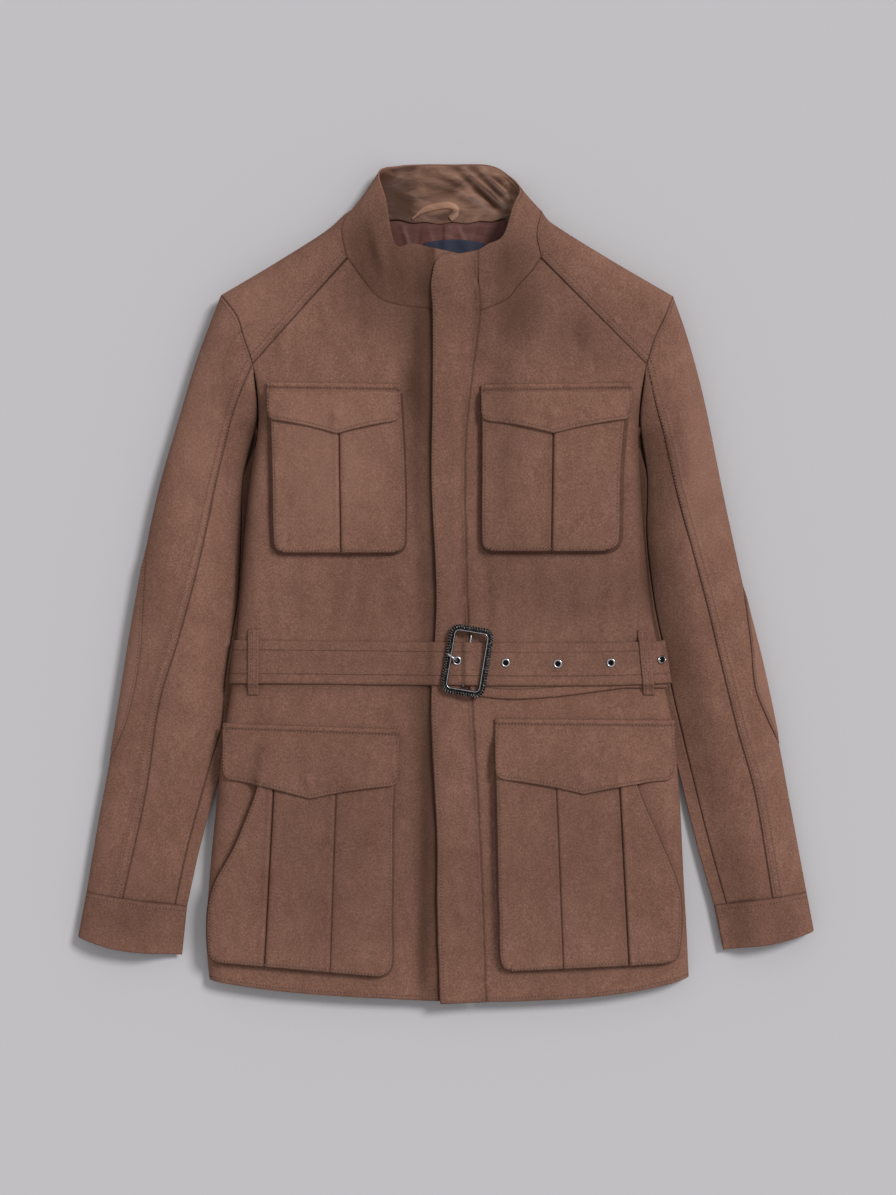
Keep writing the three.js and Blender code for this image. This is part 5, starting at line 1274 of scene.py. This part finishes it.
def neck_lining():
    """The part of the lining that shows in the neck, and the label on it."""
    grid = flat_sheet(*LINING_BOX.values(), 120, 60)
    x, y = grid[..., 0], grid[..., 1]
    pleat = 1.2 * smooth((x + 3) / 1.5) * (1 - smooth((x + 1) / 9))
    low = smooth((360.5 - y) / 6)
    ripple = creases(LINING_CREASES, x, y)
    loose = pleat + 0.9 + tread(x * 2, y, 0.6, 1) + ripple
    grid[..., 2] = SUEDE_THICK + 2 * GAP + SATIN_THICK + low * loose
    cloth("lining_cloth", lay(grid, SATIN_THICK, stiff=0), SATIN_THICK, LINING,
          ["lining"], down=True, shade=0.25 - 0.15 * ripple)
    box = LABEL_BOX
    grid = flat_sheet(box["x"] - box["width"] / 2, box["x"] + box["width"] / 2,
                      box["y"] - box["height"] / 2, box["y"] + box["height"] / 2, 40, 16)
    grid[..., 1] -= 3.5 * ((grid[..., 0] - box["x"]) / 30) ** 2
    cloth("label_cloth", lay(grid, LABEL_THICK, stiff=3), LABEL_THICK, LABEL,
          ["label"], down=True)


def hanger_loop():
    """A narrow loop laid on the facing, tapered at its first end and crowned along its middle."""
    path = line(HANGER)
    s = steps(50)
    middle = path(s)
    ahead = unit(np.gradient(middle, axis=0))
    w = np.linspace(-HANGER_HALF, HANGER_HALF, 9)
    half = mix(0.3, 1, smooth(s / 0.35))[:, None] * w
    across = np.stack([-ahead[:, 1], ahead[:, 0], 0 * s], -1)
    grid = middle[:, None] + across[:, None] * half[..., None]
    grid[..., 2] = 1.2 * (1 - (w / HANGER_HALF) ** 2)[None]
    grid[..., 2] += PILE.height(grid[..., 0], grid[..., 1], 1.5) + TRIM_THICK + GAP
    cloth("hanger_loop_cloth", lay(grid, TRIM_THICK, stiff=2), TRIM_THICK, FACING,
          ["hanger_loop"], down=True, shade=-0.3)


def placket():
    """The fly placket, which laps over the right front and the collar, with its button bumps."""
    centre = EDGES["left"]["centre"]
    seam = line([(x - 0.8, y) for x, y in centre] + [(31.5, 297), (31, 326.5)])
    bottom = straight(np.array([-5, -417.5, 0.0]), seam(0.0))
    u = np.concatenate([[0, 0.03, 0.07, 0.12], np.linspace(0.18, 1, 15)])
    grid = between(bottom, line(PLACKET_TOP), line(PLACKET_EDGE), seam, u, steps(250))
    x, y = grid[..., 0], grid[..., 1]
    on_collar = smooth((y - 262) / 12)
    base = mix(body_height(x, y), mix(38.5, 42.5, (y - 268) / 60), on_collar)
    wave = 0.4 * np.sin(y / 19) + 0.3 * np.sin(y / 7.3)
    bumps = 1.3 * sum(np.exp(-((y - at) / 11) ** 2 - ((x - 4) / 12) ** 2) for at in PLACKET_BUTTONS)
    grid[..., 2] = base + (1 - smooth(u)) * (PLACKET_THICK + 1.8 + wave) + bumps
    grid = lay(grid, PLACKET_THICK, stiff=2)
    cloth("placket_cloth", grid, PLACKET_THICK, SUEDE, ["placket"], down=True,
          seams=[(across_grid(grid, "left", 3), 0)], sewn=[grid[:, -1]])


# Pockets

def pocket(name, data):
    """A bellows pocket: a panel that stands a gusset's depth above the front, with pleats pressed
    into it, the gusset round three sides and the buttoned flap over its mouth."""
    rows, tilt, pleats = data["rows"], data["tilt"], data["pleats"]
    way = 1 if rows[0][1] > 0 else -1
    bottom, top = rows[0][0], rows[-1][0]
    y = np.concatenate([bottom + np.array([0, 0.6, 1.6, 3, 5, 7.5]), np.linspace(bottom + 10, top, 64)])
    left, right = column(rows, 1, y), column(rows, 2, y)
    down = ((top - y) / (top - bottom))[:, None]
    folds = [mix(a, b, down[:, 0]) for a, b in pleats]
    stops = [left, *folds, right]
    q = 0.5 - 0.5 * np.cos(np.pi * steps(POCKET_POINTS))[None, :-1]
    x = np.concatenate([mix(a[:, None], b[:, None], q) for a, b in zip(stops, stops[1:])]
                       + [right[:, None]], 1)
    place = y[:, None] + tilt * (x - mix(left, right, 0.5)[:, None]) * down ** 3
    inset = np.minimum(x - left[:, None], right[:, None] - x)
    edge = 0.8 + 0.2 * roll(inset / 9)
    mouth = mix(0.7, 1, smooth((top - y) / 30))[:, None]
    foot = mix(0.8, 1, roll((y - bottom) / 12))[:, None]
    off = [x - fold[:, None] for fold in folds]
    outer_fold = max(abs(a) for a, _ in pleats)
    weights = [1 if abs(a) == outer_fold else 0.6 for a, _ in pleats]
    fold = sum(k * (bell(d, 0.85) - 0.3 * bell(d - 3.5 * way, 2.6)
                    + 0.12 * bell(d + 9, 7)) for k, d in zip(weights, off))
    # Painted shade in each pleat's fold and softly beside it.
    pleat_shade = sum(k * (0.6 * bell(d, 0.45) + 0.22 * bell(d + 2 * way, 3))
               for k, d in zip(weights, off))
    ground = eased(PILE.height(x, place, REACH), 30)
    rise = POCKET_RISE * edge * mouth * foot - PLEAT_DEPTH * fold + tread(x, place, 0.5, len(name))
    panel = np.stack([x, place, ground + TRIM_THICK + GAP + rise], -1)
    least = PILE.height(x, place, REACH) + 2 * GAP + TRIM_THICK
    panel[..., 2] = np.maximum(panel[..., 2], least)
    rim = np.concatenate([panel[::-1, 0], panel[0, 1:-1], panel[:, -1]])
    ahead = unit(np.gradient(rim, axis=0) * [1, 1, 0])
    outs = np.stack([ahead[:, 1], -ahead[:, 0], 0 * ahead[:, 0]], -1)
    high = rim - outs
    high[:, 2] = rim[:, 2] - TRIM_THICK - 3 * GAP
    wide = np.where(outs[:, 0] * way > 0.5, data["foot"], np.where(outs[:, 1] < -0.5, 3, 2))
    low = rim + outs * np.convolve(np.pad(wide, 4, mode="edge"), np.full(9, 1 / 9), "valid")[:, None]
    low[:, 2] = PILE.height(low[:, 0], low[:, 1], 1.5) + 0.5
    high[:, 2] = np.maximum(high[:, 2], low[:, 2] + 0.8)
    pinch = np.sin(np.pi * steps(9))[:, None, None] * outs * 1.2
    grid = (mix(low[None], high[None], steps(9)[:, None, None]) - pinch).transpose(1, 0, 2)
    cloth(f"{name}_gusset_cloth", grid, 1.0, SUEDE_SHADED, [f"{name}_gusset"], side=-1,
          shade=data["gusset_shade"])
    seams = [(across_grid(panel, s, EDGE_ROW)[2:-2], 0) for s in ("first", "left", "right")]
    cloth(f"{name}_panel_cloth", panel, TRIM_THICK, SUEDE, [f"{name}_panel"], down=True,
          seams=seams, shade=pleat_shade * smooth(inset / 3))
    flap(name, data["flap"])


def flap(name, data):
    """A pocket's flap with a pointed edge, a hinge line sunk beside its seam and its button's bump."""
    top, start, end, tilt, side, tip, tip_at = data.values()
    u = np.concatenate([[0, 0.006, 0.016], np.linspace(0.03, 0.97, 60), [0.984, 0.994, 1]])[None]
    v = np.concatenate([np.linspace(0, 0.2, 14), np.linspace(0.23, 0.9, 22), [0.94, 0.97, 0.99, 1]])
    v = v[:, None]
    point = np.where(u < tip_at, u / tip_at, (1 - u) / (1 - tip_at))
    corner = 8 * (1 - roll(np.minimum(u, 1 - u) * (end - start) / 9))
    depth = mix(side, tip, np.clip(point, 0, 1) ** 1.5) - corner
    x = mix(start, end, u) + 0 * v
    y = top + tilt * (x - start) - v * depth
    from_button = x - mix(start, end, tip_at), v * depth - tip + 19
    button = np.exp(-(from_button[0] / 4.5) ** 2 - (from_button[1] / 6) ** 2)
    # Painted shadow in a crescent to the lower left of the button's bump.
    button_shadow = np.exp(-((from_button[0] + 4) / 4) ** 2 - ((from_button[1] - 4) / 6) ** 2)
    ground = eased(PILE.height(x, y, REACH), 24)
    curl = 0.9 * smooth((v - 0.7) / 0.3) * np.cos(x / 13)
    z = ground + FLAP_THICK + GAP + 0.8 + 2.4 * button + curl + tread(x, y, 0.4, len(name) + 3)
    grid = np.stack([x, y, z], -1)
    grid = lay(grid, FLAP_THICK, 0.5, stiff=2, reach=1.5)
    sunk = bell(v * depth - 5, 1.3)
    grid[..., 2] -= 0.7 * sunk - 0.5 * bell(v * depth - 2, 2)
    seams = [(across_grid(grid, s, EDGE_ROW)[2:-2], 0) for s in ("last", "left", "right")]
    seams.append((across_grid(grid, "first", 5), 0))
    # Painted shade along the sunk hinge line and beside the button, and a painted highlight on the
    # button's bump.
    cloth(f"{name}_flap_cloth", grid, FLAP_THICK, SUEDE, [f"{name}_flap"], down=True,
          seams=seams,
          shade=0.22 * sunk - 0.35 * button + 0.25 * button_shadow)


# Belt and buckle

def belt_run(edge, centre, xs, slants, reach):
    """The belt round a side: the front's own face moved out, from under the jacket round its
    fold, then a run that lies on top of everything it crosses."""
    w = np.linspace(-1, 1, 15)
    fold = line(edge["side"])
    y = centre(xs[0]) + w * BELT_WIDTH / 2
    folds = fold(share_at_y(fold, y))
    inward = np.array([[-edge["sign"], 0.0, 0.0]])
    under = side_turn(edge, folds, belt_lift(y))
    d = np.concatenate([[0, 0.4, 1, 2, 3.5, 5, 7, 9.5, 12, 15, 18], np.linspace(21, reach, 3)])
    over = folds[:, None] + inward[:, None] * d[None, :, None]
    over[..., 2] = np.where(d == 0, folds[:, None, 2], body_height(over[..., 0], over[..., 1]))
    face = np.concatenate([under, over], 1)
    ahead = np.gradient(face, axis=1)
    out = unit(np.stack([ahead[..., 2], 0 * ahead[..., 2], -ahead[..., 0]], -1) * edge["sign"])
    turn = face + out * (BELT_THICK + 2 * GAP)
    turn[:, 0] = face[:, 0] - [0, 0, BELT_THICK + 2 * GAP]
    turn[..., 2] = np.maximum(turn[..., 2], 0)
    x = xs[:, None] + slants[:, None] * w
    y = centre(xs)[:, None] + w * BELT_WIDTH / 2
    top = np.stack([x, y, eased(PILE.height(x, y, REACH), 12) + BELT_THICK + GAP], -1)
    whole = np.concatenate([turn.transpose(1, 0, 2), top])
    count = turn.shape[1]
    laid_part = lay(whole[count - 3:], BELT_THICK, GAP, stiff=2, reach=1.5)
    return np.concatenate([whole[:count - 3], laid_part])


def belt():
    """The belt's three parts: the buckle end over the left front, the tail from the right round
    over the bar, and the strap under the back."""
    right, left = EDGES["right"], EDGES["left"]
    xs = np.linspace(176, 25, 54)
    under = belt_run(left, lambda x: column(STRAP_LINE, 1, x), xs, 0 * xs, 24)
    lines = [across_grid(under, s, BELT_ROW) for s in ("left", "right")]
    cloth("belt_buckle_end_cloth", under, BELT_THICK, SUEDE, ["belt_buckle_end"], side=1,
          sewn=lines)
    bar_z = buckle_bar()
    xs = np.concatenate([np.linspace(-174, 2, 62), np.linspace(5, 38, 16),
                         np.linspace(41, TAIL_END, 62)])
    slants = -3 * smooth((xs - TAIL_END + 12) / 12)
    tail = belt_run(right, lambda x: column(BELT_LINE, 1, x), xs, slants, 26)
    over_bar = np.exp(-((tail[..., 0] - BUCKLE["x"]) / 8) ** 4) * (tail[..., 2] > 20)
    tail[..., 2] = np.maximum(tail[..., 2], over_bar * (bar_z + BAR_RADIUS + GAP + BELT_THICK))
    dents = creases(BELT_CREASES, tail[..., 0], tail[..., 1])
    tail[..., 2] -= np.where(tail[..., 2] > 20, 0.4 * np.cos(tail[..., 0] / 19) + dents, 0)
    lines = [across_grid(tail, s, BELT_ROW) for s in ("left", "right")]
    lines.append(across_grid(tail, "last", 5))
    cloth("belt_tail_cloth", tail, BELT_THICK, SUEDE, ["belt_tail"], side=-1,
          sewn=lines,
          shade=0.12 + 0.2 * np.abs(dents))
    y, ends = BELT_Y + np.linspace(-1, 1, 7) * BELT_WIDTH / 2, []
    for edge in (right, left):
        fold = line(edge["side"])
        ends.append(fold(share_at_y(fold, y))[:, 0] - edge["sign"] * (SIDE_TURN + 1.2))
    x = mix(ends[0][:, None], ends[1][:, None], steps(30))
    grid = np.stack([x, y[:, None] + 0 * x, 0 * x + BELT_THICK], -1)
    cloth("belt_back_cloth", grid, BELT_THICK, SUEDE, ["belt_back"], down=True,
          pile=False)


def on_buckle(u, v):
    """Place at u across and v up the buckle, which leans."""
    c, s = math.cos(BUCKLE["lean"]), math.sin(BUCKLE["lean"])
    return BUCKLE["x"] + u * c - v * s, BUCKLE["y"] + u * s + v * c


def tube(name, path, radii, material, nodes, sides=12):
    """Round rod along a path: rings of points square to it, with the ends drawn in to close."""
    path, radii = np.asarray(path, float), np.asarray(radii, float)
    ahead = unit(np.gradient(path, axis=0))
    across = unit(np.cross(ahead, [0, 0, 1.0]))
    up = np.cross(across, ahead)
    a = np.linspace(0, 2 * np.pi, sides, endpoint=False)[None, :, None]
    rings = path[:, None] + radii[:, None, None] * (np.cos(a) * across[:, None] + np.sin(a) * up[:, None])
    piece = build(name, rings.reshape(-1, 3), ring_quads(len(path), sides), material)
    if nodes:
        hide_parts(*nodes)


def buckle_bar():
    """The bar up the middle of the buckle; gives its height."""
    half = BUCKLE["height"] / 2 - BUCKLE["rim"] - 2 * GAP
    v = np.linspace(-half, half, 16)
    x, y = on_buckle(0 * v, v)
    z = PILE.height(x, y, 2).max() + GAP + BAR_RADIUS
    path = np.stack([x, y, 0 * x + z], -1)
    ends = np.minimum(1, np.minimum(np.arange(16), np.arange(15, -1, -1)) + 0.01)
    tube("buckle_bar_rod", path, BAR_RADIUS * ends, NICKEL, ["buckle_bar"])
    return z


def rounded(width, height, radius, count):
    """Points round a rectangle with round corners, anticlockwise, evenly spaced by angle and run."""
    a, b = width / 2 - radius, height / 2 - radius
    corners = []
    for cx, cy, begin in ((a, -b, -90), (a, b, 0), (-a, b, 90), (-a, -b, 180)):
        angle = np.radians(begin + 90 * steps(9))
        corners.append(np.stack([cx + radius * np.cos(angle), cy + radius * np.sin(angle)], -1))
    chain = np.concatenate([*corners, corners[0][:1]])
    run = np.concatenate([[0], np.cumsum(np.linalg.norm(np.diff(chain, axis=0), axis=1))])
    place = np.linspace(0, run[-1], count, endpoint=False)
    return np.stack([np.interp(place, run, chain[:, k]) for k in (0, 1)], -1)


def buckle():
    """Frame: a ring of rounded section. On it lie a rope of beads and a smooth inner rim. The
    prong runs from the frame's left bar into the first eyelet."""
    width, height, rim, thick = (BUCKLE[key] for key in ("width", "height", "rim", "thick"))
    count = 300
    loops = {away: rounded(width - 2 * away, height - 2 * away, max(10 - away, 3.5), count)
             for away in (0, 0.6, 0.8, 2.2, 3.2, 4.6, rim - 0.9, rim)}
    at = {away: np.stack(on_buckle(ring[:, 0], ring[:, 1]), -1) for away, ring in loops.items()}
    under = np.concatenate(list(at.values()))
    level = PILE.height(under[:, 0], under[:, 1], 1).max() + GAP
    profile = [(0, 0.9), (0, thick - 1.5), (0.8, thick - 0.7), (2.2, thick - 0.5), (4.6, thick - 0.6),
               (rim - 0.9, thick - 0.4), (rim, thick - 1.2), (rim, 0.9), (rim - 0.9, 0), (0.8, 0)]
    rings = np.array([np.column_stack([at[away], np.full(count, level + z)]) for away, z in profile])
    faces = ring_quads(len(profile), count, closed=True)
    frame_piece = build("buckle_frame_cast", rings.reshape(-1, 3), faces, GUNMETAL)
    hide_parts("buckle_frame")
    rope, edge_rope = (np.column_stack([at[away], np.full(count, level + thick - drop)])
                       for away, drop in ((2.2, 0.4), (0.6, 1.1)))
    beads("buckle_beads", rope[::4], 0.98, NICKEL_WORN)
    beads("buckle_edge_beads", edge_rope[2::4], 0.8, NICKEL_WORN)
    inner = np.column_stack([at[rim - 0.9], np.full(count, level + thick - 0.35)])
    closed = np.vstack([inner, inner[:1]])
    tube("buckle_inner_rim", closed, np.full(len(closed), 0.42), NICKEL, [], 8)
    hx, hy = EYELETS[0]
    rest = on_buckle(-width / 2 + 1.5, 4)
    low = PILE.height(np.array(hx), np.array(hy)) + GAP + 1.2
    high = level + thick + GAP + 1.2
    path = line([(hx, hy, float(low)), (mix(hx, rest[0], 0.3), mix(hy, rest[1], 0.3), high + 0.6),
                 (*rest, high)])
    s = steps(24)
    radii = 1.15 * np.minimum(1, roll(np.minimum(s, 1 - s) / 0.08) + 0.02)
    tube("buckle_prong_rod", path(s), radii, NICKEL, ["buckle_prong"])


def beads(name, centres, radius, material):
    """Round beads, each of rings of points, the first and last drawn together at its poles."""
    rings, sides = 5, 6
    lat = np.radians(np.linspace(-88, 88, rings))
    lon = np.linspace(0, 2 * np.pi, sides, endpoint=False)
    ball = np.stack([np.cos(lat)[:, None] * np.cos(lon), np.cos(lat)[:, None] * np.sin(lon),
                     np.sin(lat)[:, None] + 0 * lon], -1) * radius
    points = centres[:, None, None] + ball[None]
    first_point = rings * sides * np.arange(len(centres))[:, None, None]
    faces = ring_quads(rings, sides)[None] + first_point
    piece = build(name, points.reshape(-1, 3), faces.reshape(-1, 4), material)


def eyelets():
    """Rings of round section, tilted to lie on the belt, each over a dark disc of painted shadow in its
    hole.
    """
    sides = 32
    angle = np.linspace(0, 2 * np.pi, sides + 1)
    for i, (x, y) in enumerate(EYELETS):
        ring_x, ring_y = x + EYELET_RADIUS * np.cos(angle), y + EYELET_RADIUS * np.sin(angle)
        z = PILE.height(ring_x, ring_y)
        slope_x, slope_y = np.polyfit(ring_x, z, 1)[0], np.polyfit(ring_y, z, 1)[0]
        plane = slope_x * (ring_x - x) + slope_y * (ring_y - y)
        z = plane + (z - plane).max() + EYELET_ROUND * 0.55
        path = np.stack([ring_x, ring_y, z], -1)
        radii = np.full(len(path), EYELET_ROUND)
        tube(f"eyelet_{i + 1}_ring", path, radii, NICKEL, [f"eyelet_{i + 1}"], 10)
        # A dark disc just under the ring, painted as the shadow in the hole.
        rings = [np.stack([mix(x, ring_x, r), mix(y, ring_y, r), mix(z.mean(), z, r) - 0.45], -1)[:-1]
                 for r in (0.03, 0.5, 0.95)]
        faces = ring_quads(len(rings), sides)
        hole_shadow_disc = build(f"eyelet_{i + 1}_hole", np.concatenate(rings), faces, HOLE_SHADOW)


def belt_loop(side, edge):
    """A narrow loop over the belt at the side."""
    low, high = edge["loop"]
    v, w = steps(44), np.linspace(-1, 1, 9)
    x = mix(low, high, v)[:, None] + w * LOOP_WIDTH / 2
    y = BELT_Y - LOOP_LENGTH / 2 + v[:, None] * LOOP_LENGTH + 0 * w
    grid = np.stack([x, y, eased(PILE.height(x, y, REACH), 6) + TRIM_THICK + GAP], -1)
    grid = lay(grid, TRIM_THICK, GAP, stiff=4, reach=1.5)
    seams = [(across_grid(grid, s, 2), 0) for s in ("left", "right")]
    cloth(f"belt_loop_{side}_cloth", grid, TRIM_THICK, SUEDE, [f"belt_loop_{side}"],
          down=True, seams=seams)


def light_and_camera():
    """A soft key light from the upper right under an even sky, and the camera straight above."""
    sun = bpy.data.lights.new("key", "SUN")
    sun.energy, sun.angle = KEY_POWER, math.radians(16)
    lamp = bpy.data.objects.new("key", sun)
    lamp.rotation_euler = (-Vector(KEY_FROM)).to_track_quat("-Z", "Y").to_euler()
    bpy.context.scene.collection.objects.link(lamp)
    world = bpy.data.worlds.new("studio")
    world.use_nodes = True
    world.node_tree.nodes["Background"].inputs[0].default_value = (1, 1, 1, 1)
    world.node_tree.nodes["Background"].inputs[1].default_value = SKY_POWER
    bpy.context.scene.world = world
    camera = bpy.data.objects.new("camera", bpy.data.cameras.new("camera"))
    camera.data.sensor_fit = "VERTICAL"
    camera.data.sensor_height = SENSOR
    camera.data.lens = SENSOR * CAMERA_AT[2] / VIEW_HEIGHT
    camera.location = CAMERA_AT
    bpy.context.scene.collection.objects.link(camera)
    bpy.context.scene.camera = camera
    bpy.context.scene.view_settings.view_transform = "Standard"


def floor():
    """The plain table top."""
    mesh = bpy.data.meshes.new("table")
    reach = 4.0
    mesh.from_pydata([(-reach, -reach, 0), (reach, -reach, 0), (reach, reach, 0), (-reach, reach, 0)], [],
                     [(0, 1, 2, 3)])
    s = Shader("table", Roughness=0.9, Specular_IOR_Level=0.1)
    s.set(Base_Color=(*tones((196, 194, 197))[0], 1))
    mesh.materials.append(s.material)
    piece = bpy.data.objects.new("table", mesh)
    bpy.context.scene.collection.objects.link(piece)


back()
neck_lining()
collar_facing()
hanger_loop()
for side_name, edge_lines in EDGES.items():
    front(side_name, edge_lines)
    yoke(side_name, edge_lines)
    sleeve(side_name, edge_lines)
    cuff(side_name, edge_lines)
    elbow_patch(side_name, edge_lines)
collar()
placket()
for side_name, edge_lines in EDGES.items():
    pocket(f"chest_pocket_{side_name}", edge_lines["chest"])
    pocket(f"hip_pocket_{side_name}", edge_lines["hip"])
belt()
buckle()
eyelets()
for side_name, edge_lines in EDGES.items():
    belt_loop(side_name, edge_lines)
stitching("stitches", THREAD)
light_and_camera()
floor()
